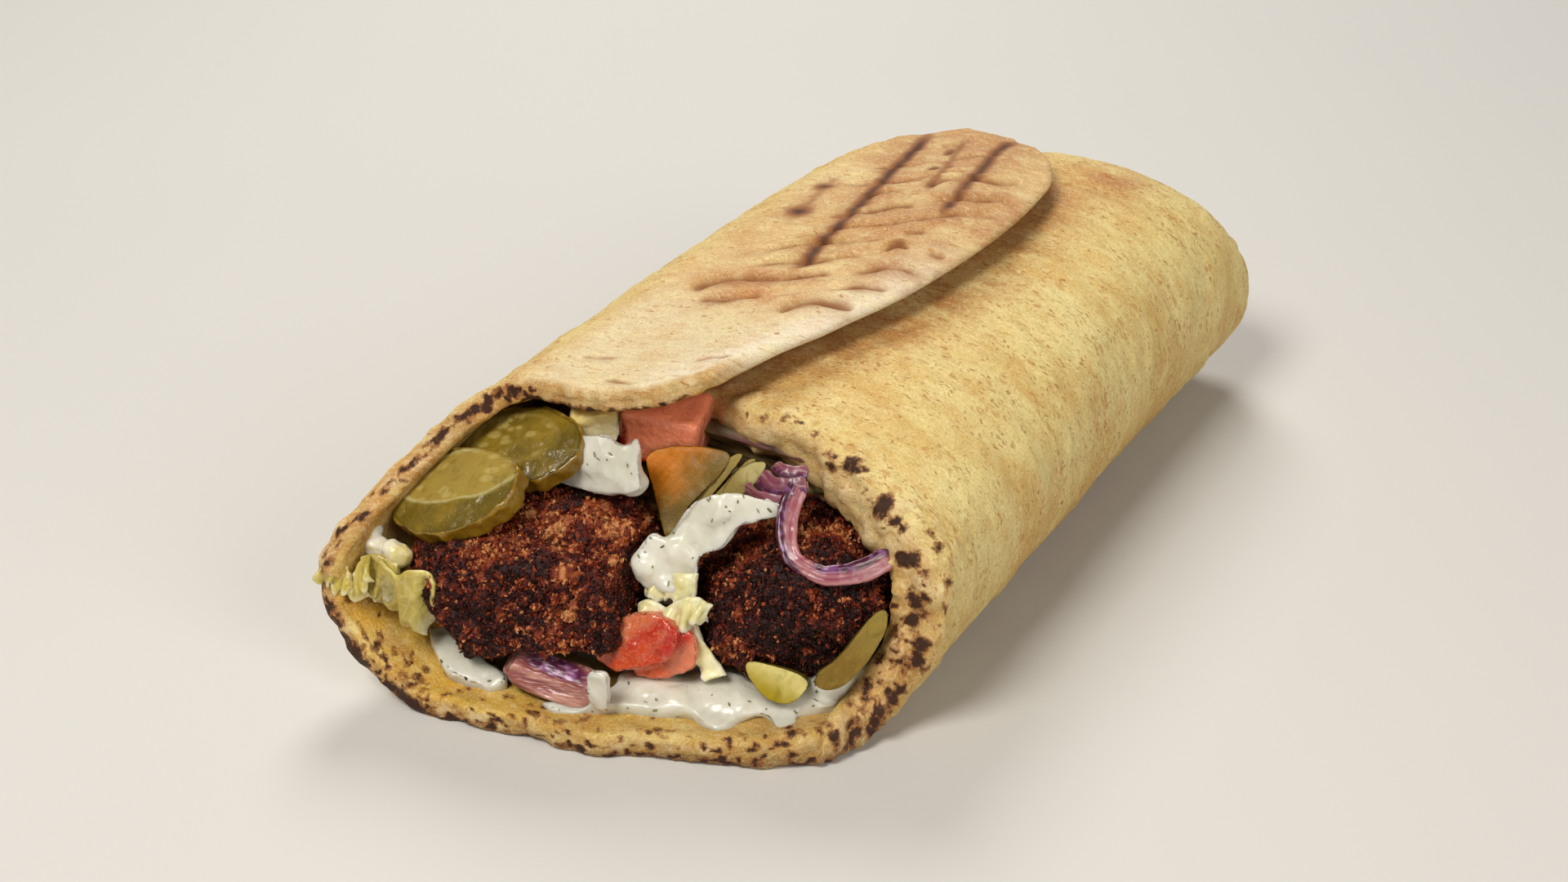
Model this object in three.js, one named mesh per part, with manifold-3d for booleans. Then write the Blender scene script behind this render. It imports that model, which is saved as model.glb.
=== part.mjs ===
// Falafel wrap. One round flatbread is rolled round its filling: its right side is folded over the
// top, its left side is folded over that as a long flap, and its far end is tucked in. The near end
// is open and shows two falafel balls, pickles, tomato, red onion, lettuce and yogurt sauce.
//
// Millimetres. X runs across the wrap, Y along it from the open end to the tucked end, Z up. The
// origin is the middle of the bounding box at the level of the table.
import * as THREE from "three";
import { mergeVertices } from "three/addons/utils/BufferGeometryUtils.js";
import Module from "manifold-3d";

const wasm = await Module();
wasm.setup();

// ---- driving dimensions ------------------------------------------------------------------------

const BREAD_THICK = 3.8; // the flatbread
const RIM_REACH = 12; // its puffed rim thins to that over this length
const GAP = 0.35; // between neighbouring pieces
const END_Y = 99; // the tucked end
const SHIFT = new THREE.Vector3(1.8, 1.4, 0); // from the axes used below to the part's origin

// The section through the roll, each measure as [at y along the wrap, value].
const ROLL = {
  wallRight: [[-99, 48], [-40, 49.5], [98, 50.5]], // from the axis to the right-hand wall
  wallLeft: [[-99, 53.8], [-85, 52], [-60, 49.8], [0, 48.5], [60, 46], [98, 42]],
  bulgeRight: [[-99, 27], [0, 24], [98, 22]], // height of the widest point
  bulgeLeft: [[-99, 24], [98, 22]],
  topRight: [[-99, 44.5], [-55, 47.5], [-30, 51], [30, 52], [98, 52]], // height of the right fold
  topLeft: [[-99, 51], [-60, 52.5], [30, 54], [98, 53]], // height where the flap begins
  flapRise: [[-99, 8], [-55, 8], [-15, 5.5], [98, 5]], // how far the flap climbs over the fold
  shoulderRight: [[-99, 46], [0, 42], [98, 38]], // widths of the four rounded corners
  footRight: [[-99, 9.5], [0, 24], [98, 24]],
  footLeft: [[-99, 26], [98, 22]],
  shoulderLeft: [[-99, 22], [98, 23]],
};
const SHOULDER_POWER = 2.4; // the right-hand shoulder is fuller than an ellipse
const FOLD_REACH = 21; // the right-hand fold runs on beneath the flap
const FOLD_DIP = 6;
const FLAP_TIP_X = 20;

// Positions round the section run from 0 under the flap, by 2 at the right wall, 3 to 4 along the
// bottom and 5 at the left wall, to 7 at the flap's tip. These tables are [round, value].
const NEAR_RIM = [
  [0, -44],
  [1, -47.5],
  [1.5, -54],
  [2, -58.7],
  [2.5, -63],
  [3, -77],
  [3.35, -88],
  [3.7, -95.5],
  [4, -98.5],
  [4.5, -99.5],
  [5, -98],
  [5.25, -87],
  [5.5, -74],
  [5.8, -66],
  [6.1, -64.5],
  [6.35, -62.5],
  [6.55, -55],
];
const FAR_RIM = [
  [0, 82],
  [1, 82],
  [2, 91],
  [3, 92],
  [4, 92],
  [4.6, 84],
  [5, 66],
  [5.4, 46],
  [5.6, 46],
  [5.8, 54],
  [6.05, 67],
  [6.25, 73],
  [6.5, 72.5],
];
const RIM_THICK = [
  [0, 7],
  [1, 10],
  [1.4, 12.5],
  [1.8, 11],
  [2.4, 9],
  [3, 7],
  [3.4, 5.4],
  [4, 4.8],
  [7, 4.4],
];
// The flap's free edge, as [share of the way from its near to its far corner, position round].
const FLAP_EDGE = [
  [0, 6.55],
  [0.1, 6.69],
  [0.22, 6.81],
  [0.4, 6.93],
  [0.62, 7],
  [0.8, 6.97],
  [0.92, 6.82],
  [1, 6.5],
];

// How the closed end rounds off above, below and at its corners.
const END_ABOVE = 26;
const END_BELOW = 14;
const END_CORNER = 10;
const END_MIDDLE_Z = 22;
const END_FULLNESS = 0.62; // its section is fuller than an ellipse
const TUCK_FROM_Y = 28; // the tucked layer lines the roll from here
const TUCK_DEPTH = 2.7; // and lies this far inside the outer layer
const CORE_FROM_Y = -50; // the salad behind the pieces that show

const COARSE = 0.2; // facets are merged where that moves the surface by less
const AROUND = 44; // facets of the bread round the roll and along it
const ALONG = 14;
const END_AROUND = 26;
const END_ALONG = 8;
const STRIP_AROUND = 6;

// ---- small tools -------------------------------------------------------------------------------

const mix = (a, b, t) => a + (b - a) * t;
const clamp = (v) => Math.min(1, Math.max(0, v));
const swell = (v, power) => Math.sign(v) * Math.abs(v) ** power;

// A smooth curve through a table of [at, value] pairs.
function through(table, at) {
  const last = table.length - 1;
  if (at <= table[0][0]) return table[0][1];
  if (at >= table[last][0]) return table[last][1];
  const i = table.findIndex(([a]) => a > at) - 1;
  const slope = (j) => (table[j + 1][1] - table[j][1]) / (table[j + 1][0] - table[j][0]);
  const tangent = (j) => {
    if (j === 0) return slope(0);
    if (j === last) return slope(last - 1);
    const [a, b] = [slope(j - 1), slope(j)];
    return a * b <= 0 ? 0 : (2 * a * b) / (a + b);
  };
  const width = table[i + 1][0] - table[i][0];
  const t = (at - table[i][0]) / width;
  const [t2, t3] = [t * t, t * t * t];
  return (
    (2 * t3 - 3 * t2 + 1) * table[i][1] +
    (t3 - 2 * t2 + t) * width * tangent(i) +
    (3 * t2 - 2 * t3) * table[i + 1][1] +
    (t3 - t2) * width * tangent(i + 1)
  );
}

function solidFrom(geometry) {
  const bare = geometry.clone();
  for (const name of ["normal", "uv"]) bare.deleteAttribute(name);
  const merged = mergeVertices(bare, 1e-4);
  const vertProperties = new Float32Array(merged.attributes.position.array);
  const triVerts = new Uint32Array(merged.index.array);
  const solid = new wasm.Manifold(new wasm.Mesh({ numProp: 3, vertProperties, triVerts }));
  if (solid.volume() > 0) return solid;
  return new wasm.Manifold(
    new wasm.Mesh({ numProp: 3, vertProperties, triVerts: triVerts.reverse() }),
  );
}

function geometryFrom(solid) {
  const mesh = solid.getMesh();
  const geometry = new THREE.BufferGeometry();
  geometry.setAttribute("position", new THREE.BufferAttribute(mesh.vertProperties, 3));
  geometry.setIndex(new THREE.BufferAttribute(mesh.triVerts, 1));
  geometry.computeVertexNormals();
  return geometry;
}

// A closed solid through rings of points, with a fan over each end.
function lofted(rings) {
  const around = rings[0].length;
  const points = rings.flat();
  const faces = [];
  for (let i = 0; i < rings.length - 1; i++) {
    for (let j = 0; j < around; j++) {
      const next = (j + 1) % around;
      const [a, b] = [i * around + j, i * around + next];
      faces.push(a, b, b + around, a, b + around, a + around);
    }
  }
  for (const [ring, turn] of [[0, 1], [rings.length - 1, -1]]) {
    const middle = new THREE.Vector3();
    for (const point of rings[ring]) middle.addScaledVector(point, 1 / around);
    const centre = points.push(middle) - 1;
    for (let j = 0; j < around; j++) {
      const [a, b] = [ring * around + j, ring * around + ((j + 1) % around)];
      faces.push(centre, ...(turn > 0 ? [b, a] : [a, b]));
    }
  }
  const geometry = new THREE.BufferGeometry().setFromPoints(points);
  geometry.setIndex(faces);
  return solidFrom(geometry);
}

// ---- the bread ---------------------------------------------------------------------------------

function rollAt(y) {
  const at = {};
  for (const [name, table] of Object.entries(ROLL)) at[name] = through(table, y);
  return at;
}

// How much of the full section is left where the tucked end rounds off over a length `over`.
function roundOff(y, over) {
  const into = clamp((y - END_Y + over) / over);
  return Math.sqrt(Math.max(0, 1 - into * into));
}

// The bread's outer surface: a point of the section `round` (0 to 7) at `y` along the wrap.
function outside(round, y) {
  const r = rollAt(y);
  const part = Math.min(6, Math.floor(round));
  const t = round - part;
  const [cos, sin] = [Math.cos((t * Math.PI) / 2), Math.sin((t * Math.PI) / 2)];
  const full = 2 / SHOULDER_POWER;
  const rightTopX = r.wallRight - r.shoulderRight;
  const rightFootX = r.wallRight - r.footRight;
  const leftFootX = r.footLeft - r.wallLeft;
  const leftTopX = r.shoulderLeft - r.wallLeft;
  let x;
  let z;
  if (part === 0) {
    x = rightTopX - FOLD_REACH * (1 - t);
    z = r.topRight - FOLD_DIP * (1 - t) ** 2;
  } else if (part === 1) {
    x = rightTopX + r.shoulderRight * swell(sin, full);
    z = r.bulgeRight + (r.topRight - r.bulgeRight) * swell(cos, full);
  } else if (part === 2) {
    x = rightFootX + r.footRight * cos;
    z = r.bulgeRight * (1 - sin);
  } else if (part === 3) {
    x = mix(rightFootX, leftFootX, t);
    z = 0;
  } else if (part === 4) {
    x = leftFootX - r.footLeft * sin;
    z = r.bulgeLeft * (1 - cos);
  } else if (part === 5) {
    x = leftTopX - r.shoulderLeft * cos;
    z = r.bulgeLeft + (r.topLeft - r.bulgeLeft) * sin;
  } else {
    x = mix(leftTopX, FLAP_TIP_X, t);
    z = r.topLeft + r.flapRise * t * t * (3 - 2 * t);
  }
  const height = roundOff(y, z > END_MIDDLE_Z ? END_ABOVE : END_BELOW);
  const inset = END_CORNER * (1 - roundOff(y, END_CORNER));
  const wall = x > 0 ? r.wallRight : r.wallLeft;
  return new THREE.Vector3(
    x * (1 - inset / wall),
    y,
    END_MIDDLE_Z + (z - END_MIDDLE_Z) * height,
  );
}

// The same point moved `depth` into the bread, square to its surface.
function within(round, y, depth) {
  const step = 0.02;
  const [r0, r1] = [Math.max(0, round - step), Math.min(7, round + step)];
  const across = outside(r1, y).sub(outside(r0, y));
  const along = outside(round, y + step).sub(outside(round, y - step));
  return outside(round, y).addScaledVector(along.cross(across).normalize(), depth);
}

// Where the sheet lies at shares a (round the roll) and b (along it), both 0 to 1, and how thick
// it is there.
function sheetAt(a, b, grow) {
  const round = a * through(FLAP_EDGE, b);
  const near = through(NEAR_RIM, round) - grow;
  const far = through(FAR_RIM, round) + grow;
  const y = mix(near, far, b);
  const puff = (through(RIM_THICK, round) - BREAD_THICK) * Math.exp(-(((y - near) / RIM_REACH) ** 2));
  return { round, y, thick: BREAD_THICK + puff };
}

// The rolled sheet. `grow` fattens it on every side, for cutting its neighbours clear of it.
function breadSheet(grow = 0) {
  const rings = [];
  for (let i = 0; i <= AROUND; i++) {
    const out = [];
    const back = [];
    for (let j = 0; j <= ALONG; j++) {
      const even = j / ALONG;
      const b = even - 0.13 * Math.sin(2 * Math.PI * even); // closer together near both rims
      const { round, y, thick } = sheetAt(i / AROUND, b, grow);
      const edge = j === 0 || j === ALONG ? 0.16 * thick : 0;
      out.push(within(round, y, edge - grow));
      back.unshift(within(round, y, thick - edge + grow));
    }
    const [near, far] = [sheetAt(i / AROUND, 0, grow), sheetAt(i / AROUND, 1, grow)];
    const nearLip = within(near.round, near.y - 0.22 * near.thick, near.thick / 2);
    const farLip = within(far.round, Math.min(END_Y - 0.1, far.y + 0.9), far.thick / 2);
    rings.push([...out, farLip, ...back, nearLip]);
  }
  return lofted(rings);
}

// A closed-ended bag that fills the roll from y to the tucked end, `depth` inside its outside.
function endBag(fromY, depth) {
  const rings = [];
  for (let i = 0; i <= END_ALONG; i++) {
    const into = i / END_ALONG;
    const y = mix(fromY, END_Y - depth + TUCK_DEPTH - 0.5, Math.sin((into * Math.PI) / 2));
    const stretched = y + depth - TUCK_DEPTH; // where the outermost bag has the same rounding
    const r = rollAt(y);
    const inset = END_CORNER * (1 - roundOff(stretched, END_CORNER));
    const above = (r.topRight - depth - END_MIDDLE_Z) * roundOff(stretched, END_ABOVE);
    const floorZ = Math.max(0, depth - TUCK_DEPTH);
    const below = (END_MIDDLE_Z - floorZ) * roundOff(stretched, END_BELOW);
    const ring = [];
    for (let j = 0; j < END_AROUND; j++) {
      const angle = (j / END_AROUND) * 2 * Math.PI;
      const [c, s] = [Math.cos(angle), Math.sin(angle)];
      const side = (c > 0 ? r.wallRight : r.wallLeft) - depth - inset;
      const x = swell(c, END_FULLNESS) * side;
      const z = END_MIDDLE_Z + swell(s, END_FULLNESS) * (s > 0 ? above : below);
      ring.push(new THREE.Vector3(x, y, z));
    }
    rings.push(ring);
  }
  return lofted(rings);
}

// The tucked end: the bread's far part, turned in and lining the roll.
function tuckedEnd(grow = 0) {
  const outer = endBag(TUCK_FROM_Y - grow, TUCK_DEPTH - grow);
  const inner = endBag(TUCK_FROM_Y - 2, TUCK_DEPTH + BREAD_THICK + grow);
  return outer.subtract(inner);
}

// ---- the filling -------------------------------------------------------------------------------

// A rounded lump: powers of 2 make an ellipsoid and more is squarer, across and then upward.
function lump({ at, size, power = [2, 2], turn = [0, 0, 0], rough = 0, detail = 2 }, grow) {
  const geometry = new THREE.IcosahedronGeometry(1, detail);
  const place = geometry.attributes.position;
  const [acrossPower, upPower] = power;
  const radii = new THREE.Vector3(...size).multiplyScalar(0.5).addScalar(grow);
  const p = new THREE.Vector3();
  for (let i = 0; i < place.count; i++) {
    p.fromBufferAttribute(place, i);
    const flat = (Math.abs(p.x) ** acrossPower + Math.abs(p.y) ** acrossPower) ** (1 / acrossPower);
    const reach = (flat ** upPower + Math.abs(p.z) ** upPower) ** (1 / upPower);
    const bump = Math.sin(5 * p.x + 3 * p.z) * Math.cos(4 * p.y - 2 * p.x) * Math.cos(5 * p.z + 1);
    p.multiplyScalar(1 / reach).multiply(radii).multiplyScalar(1 + (2 * rough * bump) / size[0]);
    place.setXYZ(i, p.x, p.y, p.z);
  }
  const [x, y, z] = turn.map((degrees) => (degrees * Math.PI) / 180);
  geometry.applyMatrix4(new THREE.Matrix4().makeRotationFromEuler(new THREE.Euler(x, y, z, "ZYX")));
  geometry.translate(...at);
  return solidFrom(geometry);
}

const joined = (parts) => parts.reduce((whole, part) => whole.add(part));
const lumps = (list, grow) => joined(list.map((each) => lump({ detail: 1, ...each }, grow)));

// A strip swept along a smooth curve through the points. Its width lies square to `facing`.
function strip({ points, width, thick, facing, steps = 10 }, grow) {
  const curve = new THREE.CatmullRomCurve3(points.map((p) => new THREE.Vector3(...p)));
  const front = new THREE.Vector3(...facing);
  const rings = [];
  for (let i = 0; i <= steps; i++) {
    const centre = curve.getPointAt(i / steps);
    const ahead = curve.getTangentAt(i / steps);
    const end = i === 0 ? -grow : i === steps ? grow : 0;
    centre.addScaledVector(ahead, end);
    const taper = Math.sqrt(clamp(0.35 + (2.5 * Math.min(i, steps - i)) / steps));
    const wide = ahead.clone().cross(front).normalize();
    const deep = wide.clone().cross(ahead);
    const ring = [];
    for (let j = 0; j < STRIP_AROUND; j++) {
      const angle = ((j + 0.5) / STRIP_AROUND) * 2 * Math.PI;
      const across = 1.1 * Math.cos(angle) * ((width * taper) / 2 + grow);
      const inward = 1.1 * Math.sin(angle) * ((thick * taper) / 2 + grow);
      ring.push(centre.clone().addScaledVector(wide, across).addScaledVector(deep, inward));
    }
    rings.push(ring);
  }
  return lofted(rings);
}

const VIEWER = [0.43, -0.75, 0.5]; // toward the eye that looks into the open end

// Every piece of the filling, the firm ones first: each is cut clear of all those before it.
const FILLING = {
  falafel_left: (grow) =>
    lump(
      {
        at: [-23, -75, 18.8],
        size: [40.5, 39, 28],
        power: [2.5, 2.5],
        turn: [4, -3, 10],
        rough: 0.8,
        detail: 3,
      },
      grow,
    ),
  falafel_right: (grow) =>
    lump(
      {
        at: [20, -56.4, 18.8],
        size: [36.5, 37, 27.5],
        power: [2.3, 2.4],
        turn: [-3, 4, 50],
        rough: 0.8,
        detail: 3,
      },
      grow,
    ),
  tomato_top: (grow) =>
    lump({ at: [-10.8, -51.8, 41.4], size: [14.5, 11, 11], power: [5, 5], turn: [10, 6, 16] }, grow),
  tomato_low: (grow) =>
    lump({ at: [-1.2, -77.2, 14], size: [14.5, 9, 10.5], power: [2.6, 2.4], turn: [20, -28, 12] }, grow),
  pickle_slice_left: (grow) =>
    lump({ at: [-35.5, -80.4, 35.2], size: [28, 18, 3.6], power: [2.1, 4], turn: [28, -22, 8] }, grow),
  pickle_slice_top: (grow) =>
    lump({ at: [-29.5, -68.6, 40.4], size: [25, 16, 3.4], power: [2.1, 4], turn: [30, -14, 6] }, grow),
  pickle_slice_middle: (grow) =>
    lump({ at: [-1.2, -56, 33], size: [19, 3.2, 19], power: [3, 2.2], turn: [-24, -10, 18] }, grow),
  pickle_sliver: (grow) =>
    lump({ at: [8, -56.6, 37.4], size: [9.5, 2.4, 6], power: [3, 2.2], turn: [-20, -36, 24] }, grow),
  pickle_wedge: (grow) =>
    lump({ at: [22.6, -70.5, 9.6], size: [13, 6.5, 6.5], power: [2.4, 2.4], turn: [10, 8, 10] }, grow),
  pickle_strip: (grow) =>
    strip(
      {
        points: [
          [38.4, -59.5, 25.2],
          [37.6, -64, 21.8],
          [35.4, -67.6, 17.6],
          [32.2, -69.6, 13.4],
          [28.6, -70, 10],
        ],
        width: 4.4,
        thick: 2.4,
        facing: VIEWER,
      },
      grow,
    ),
  onion_ring: (grow) =>
    strip(
      {
        points: [
          [21.5, -56.5, 41.5],
          [22.4, -62.4, 38],
          [24.6, -66.4, 35.4],
          [29.2, -68.4, 32.8],
          [34, -66, 31.6],
          [37.4, -60.4, 31.6],
          [38.4, -56, 31.8],
        ],
        width: 3.8,
        thick: 2.4,
        facing: VIEWER,
      },
      grow,
    ),
  onion_shreds: (grow) =>
    lump({ at: [14.8, -56.4, 38.8], size: [10.5, 5, 4.6], turn: [0, 6, 22] }, grow),
  onion_wedge: (grow) =>
    lump({ at: [-11.4, -88.4, 8.2], size: [18, 7, 6], power: [2.8, 2.6], turn: [8, 12, 12] }, grow),
  cabbage_rib: (grow) =>
    lump({ at: [-20.6, -59.8, 43.2], size: [8.5, 6, 6.5], power: [2.6, 2.2], turn: [14, 0, 20] }, grow),
  cabbage_bits: (grow) =>
    lumps(
      [
        { at: [-47.6, -89.6, 26.8], size: [5.5, 5, 6.5] },
        { at: [-43.6, -90.6, 25], size: [7.5, 5, 4.6] },
      ],
      grow,
    ),
  lettuce_left: (grow) =>
    joined([
      strip(
        {
          points: [
            [-52.6, -99.4, 23.4],
            [-50.6, -99.2, 20.4],
            [-47.8, -96.8, 21],
            [-45, -93.4, 21.4],
            [-42, -92, 19],
            [-39, -92.4, 20],
          ],
          width: 6,
          thick: 2.8,
          facing: VIEWER,
          steps: 9,
        },
        grow,
      ),
      lump({ at: [-41, -91.6, 15.4], size: [7, 6, 12], turn: [0, 12, 10], detail: 1 }, grow),
    ]),
  lettuce_middle: (grow) =>
    lumps(
      [
        { at: [4.4, -72.6, 20.4], size: [12.5, 5.5, 6], turn: [0, -6, 26] },
        { at: [7.6, -74.4, 14], size: [5, 5, 12], turn: [0, -14, 0] },
      ],
      grow,
    ),
  sauce_top: (grow) =>
    lumps(
      [
        { at: [-17.6, -63.6, 39], size: [14.5, 8, 8.5] },
        { at: [-12, -63.4, 36.6], size: [10, 8, 7.5] },
      ],
      grow,
    ),
  sauce_middle: (grow) =>
    lumps(
      [
        { at: [13, -61.4, 36], size: [15, 8, 5.5], turn: [0, -8, 22] },
        { at: [6.4, -64.6, 32.4], size: [12, 8, 9] },
        { at: [3, -68, 29.4], size: [10, 8, 9] },
        { at: [0.2, -71, 25.6], size: [8, 8, 10] },
      ],
      grow,
    ),
  sauce_bed: (grow) =>
    lumps(
      [
        { at: [13, -76, 6], size: [34, 14, 7], power: [2.6, 2.2], turn: [0, 0, 20], detail: 2 },
        { at: [29, -67, 7], size: [16, 9, 8], turn: [0, 0, 34] },
        { at: [2, -58, 5.4], size: [76, 34, 4.6], power: [3, 3], detail: 2 },
        { at: [-26.6, -90.8, 7.6], size: [20, 7, 5.5], turn: [8, 12, -2] },
        { at: [-6, -84.5, 5.6], size: [24, 9, 4.4] },
        { at: [19.2, -82.4, 4.4], size: [9, 5, 4.4] },
      ],
      grow,
    ),
};

const COLOURS = {
  bread: [0xd9bd7c, 0.85],
  falafel: [0x4a2012, 0.9],
  tomato: [0xc63a1c, 0.35],
  pickle: [0x8c8a2c, 0.35],
  onion: [0x8a3562, 0.4],
  cabbage: [0xdcdcae, 0.45],
  lettuce: [0xc3c878, 0.5],
  sauce: [0xeeece2, 0.3],
  salad: [0xb9b27a, 0.6],
};
const materials = {};
for (const [name, [color, roughness]] of Object.entries(COLOURS)) {
  materials[name] = new THREE.MeshStandardMaterial({ name, color, roughness, metalness: 0 });
}

// ---- putting it together -----------------------------------------------------------------------

const wrap = new THREE.Group();
wrap.position.copy(SHIFT);

function place(name, solid, material) {
  const mesh = new THREE.Mesh(geometryFrom(solid), material);
  mesh.name = name;
  wrap.add(mesh);
}

// The largest of the bodies that a cut leaves.
function largest(solid) {
  return solid.decompose().reduce((best, each) => (each.volume() > best.volume() ? each : best));
}

place("bread", breadSheet().add(tuckedEnd()).simplify(COARSE), materials.bread);

let taken = breadSheet(GAP).add(tuckedEnd(GAP)); // the space that later pieces are cut clear of
for (const [name, make] of Object.entries(FILLING)) {
  place(name, largest(make(0).subtract(taken)).simplify(COARSE), materials[name.split("_")[0]]);
  taken = taken.add(make(GAP));
}

const core = endBag(CORE_FROM_Y, TUCK_DEPTH + BREAD_THICK + 2 * GAP);
place("salad_core", largest(core.subtract(taken)).simplify(COARSE), materials.salad);

export default wrap;
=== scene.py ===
"""Looks of the falafel wrap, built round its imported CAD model.

Shapes are worked out in millimetres on the axes of the CAD source: X across the wrap, Y from its
open end to its tucked end, Z up. piece() moves them to the part's frame, in metres.
"""
import math
from functools import lru_cache
from itertools import product
from types import SimpleNamespace

import bmesh
import bpy
import numpy as np
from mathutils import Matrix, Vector
from mathutils.geometry import tessellate_polygon


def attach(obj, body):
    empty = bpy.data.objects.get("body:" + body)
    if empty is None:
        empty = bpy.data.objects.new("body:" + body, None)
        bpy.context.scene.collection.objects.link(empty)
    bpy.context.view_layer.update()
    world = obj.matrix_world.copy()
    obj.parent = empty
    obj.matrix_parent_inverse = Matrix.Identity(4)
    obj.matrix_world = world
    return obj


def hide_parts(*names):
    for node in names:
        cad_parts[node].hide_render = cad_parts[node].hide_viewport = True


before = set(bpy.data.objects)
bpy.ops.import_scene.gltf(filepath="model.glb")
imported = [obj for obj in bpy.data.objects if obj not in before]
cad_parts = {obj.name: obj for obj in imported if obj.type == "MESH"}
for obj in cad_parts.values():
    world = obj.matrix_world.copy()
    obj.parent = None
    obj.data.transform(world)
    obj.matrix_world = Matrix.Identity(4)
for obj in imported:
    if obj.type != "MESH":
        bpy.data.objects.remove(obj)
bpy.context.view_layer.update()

MM = 0.001
SHIFT = np.array([1.8, 1.4, 0.0])  # from the axes used here to the part's origin
SEED = 20
VIEWER = np.array([0.43, -0.75, 0.5]) / np.linalg.norm([0.43, -0.75, 0.5])  # to the open end's front

# ---- the bread's sizes, as in the CAD source -----------------------------------------------------

BREAD_THICK = 3.8
RIM_REACH = 12
END_Y = 99
ROLL = {
    "wall_right": [[-99, 48], [-40, 49.5], [98, 50.5]],
    "wall_left": [[-99, 53.8], [-85, 52], [-60, 49.8], [0, 48.5], [60, 46], [98, 42]],
    "bulge_right": [[-99, 27], [0, 24], [98, 22]],
    "bulge_left": [[-99, 24], [98, 22]],
    "top_right": [[-99, 44.5], [-55, 47.5], [-30, 51], [30, 52], [98, 52]],
    "top_left": [[-99, 51], [-60, 52.5], [30, 54], [98, 53]],
    "flap_rise": [[-99, 8], [-55, 8], [-15, 5.5], [98, 5]],
    "shoulder_right": [[-99, 46], [0, 42], [98, 38]],
    "foot_right": [[-99, 9.5], [0, 24], [98, 24]],
    "foot_left": [[-99, 26], [98, 22]],
    "shoulder_left": [[-99, 22], [98, 23]],
}
SHOULDER_POWER = 2.4
FOLD_REACH = 21
FOLD_DIP = 6
FLAP_TIP_X = 20
NEAR_RIM = [
    [0, -44], [1, -47.5], [1.5, -54], [2, -58.7], [2.5, -63], [3, -77], [3.35, -88], [3.7, -95.5],
    [4, -98.5], [4.5, -99.5], [5, -98], [5.25, -87], [5.5, -74], [5.8, -66], [6.1, -64.5],
    [6.35, -62.5], [6.55, -55],
]
FAR_RIM = [
    [0, 82], [1, 82], [2, 91], [3, 92], [4, 92], [4.6, 84], [5, 66], [5.4, 46], [5.6, 46],
    [5.8, 54], [6.05, 67], [6.25, 73], [6.5, 72.5],
]
RIM_THICK = [
    [0, 7], [1, 10], [1.4, 12.5], [1.8, 11], [2.4, 9], [3, 7], [3.4, 5.4], [4, 4.8], [7, 4.4],
]
FLAP_EDGE = [
    [0, 6.55], [0.1, 6.69], [0.22, 6.81], [0.4, 6.93], [0.62, 7], [0.8, 6.97], [0.92, 6.82], [1, 6.5],
]
END_ABOVE = 26
END_BELOW = 14
END_CORNER = 10
END_MIDDLE_Z = 22
END_FULLNESS = 0.62
TUCK_FROM_Y = 28
TUCK_DEPTH = 2.7

# ---- numbers and noise ---------------------------------------------------------------------------


def rgb(red, green, blue):
    """A colour given as it looks on a screen, from 0 to 255, as linear light."""
    share = np.array([red, green, blue]) / 255
    return np.where(share <= 0.04045, share / 12.92, ((share + 0.055) / 1.055) ** 2.4)


def through(table, at):
    """A smooth curve through a table of [at, value] pairs."""
    keys, values = np.array(table, float).T
    at = np.clip(np.asarray(at, float), keys[0], keys[-1])
    width = np.diff(keys)
    slope = np.diff(values) / width
    a, b = slope[:-1], slope[1:]
    inner = np.where(a * b > 0, 2 * a * b / np.where(a + b == 0, 1, a + b), 0)
    tangent = np.concatenate([slope[:1], inner, slope[-1:]])
    i = np.clip(np.searchsorted(keys, at, side="right") - 1, 0, len(width) - 1)
    t = (at - keys[i]) / width[i]
    return (
        (2 * t**3 - 3 * t**2 + 1) * values[i]
        + (t**3 - 2 * t**2 + t) * width[i] * tangent[i]
        + (3 * t**2 - 2 * t**3) * values[i + 1]
        + (t**3 - t**2) * width[i] * tangent[i + 1]
    )


def mix(a, b, t):
    return a + (b - a) * t


def step(value, low, high):
    """0 below low, 1 above high and smooth between them; low may be the larger."""
    t = np.clip((value - low) / (high - low), 0, 1)
    return t * t * (3 - 2 * t)


def swell(value, power):
    """A power that keeps the value's sign."""
    return np.sign(value) * np.abs(value) ** power


def bell(away, width):
    """1 in the middle, falling smoothly to 0.37 at the width and to nothing beyond it."""
    return np.exp(-((away / width) ** 2))


def dome(away, radius, low=0):
    """1 in the middle and 0 at the radius, and down to low beyond it."""
    return np.clip(1 - (away / radius) ** 2, low, 1)


def tinted(paint, colour, share):
    """Paint with another colour over it, by a share for each point."""
    return mix(paint, colour, share[:, None])


def on_plane(x, y):
    return np.column_stack([x, y, 0 * y])


def unit(vectors):
    return vectors / np.maximum(np.linalg.norm(vectors, axis=-1, keepdims=True), 1e-12)


def hashed(cell, seed):
    """A random number from 0 to 1 for each whole-numbered cell."""
    c = cell.astype(np.int64)
    h = c[..., 0] * 73856093 ^ c[..., 1] * 19349663 ^ c[..., 2] * 83492791 ^ seed * 2654435761
    h = h & 0xFFFFFFFF
    for shift in (16, 13, 16):
        h = ((h ^ (h >> shift)) * 73244475) & 0xFFFFFFFF
    return (h >> 8) / 0xFFFFFF


def soft_noise(p, size, seed):
    """Noise from -1 to 1 with features of about that size."""
    q = p / size
    cell = np.floor(q)
    f = q - cell
    f = f * f * (3 - 2 * f)
    total = 0
    for corner in product((0, 1), repeat=3):
        total = total + np.prod(np.where(corner, f, 1 - f), axis=-1) * hashed(cell + corner, seed)
    return 2 * total - 1


def rough_noise(p, size, seed, octaves=3):
    """Soft noise with finer and fainter noise added to it."""
    return sum(soft_noise(p, size / 2**k, seed + k) / 2**k for k in range(octaves))


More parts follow.
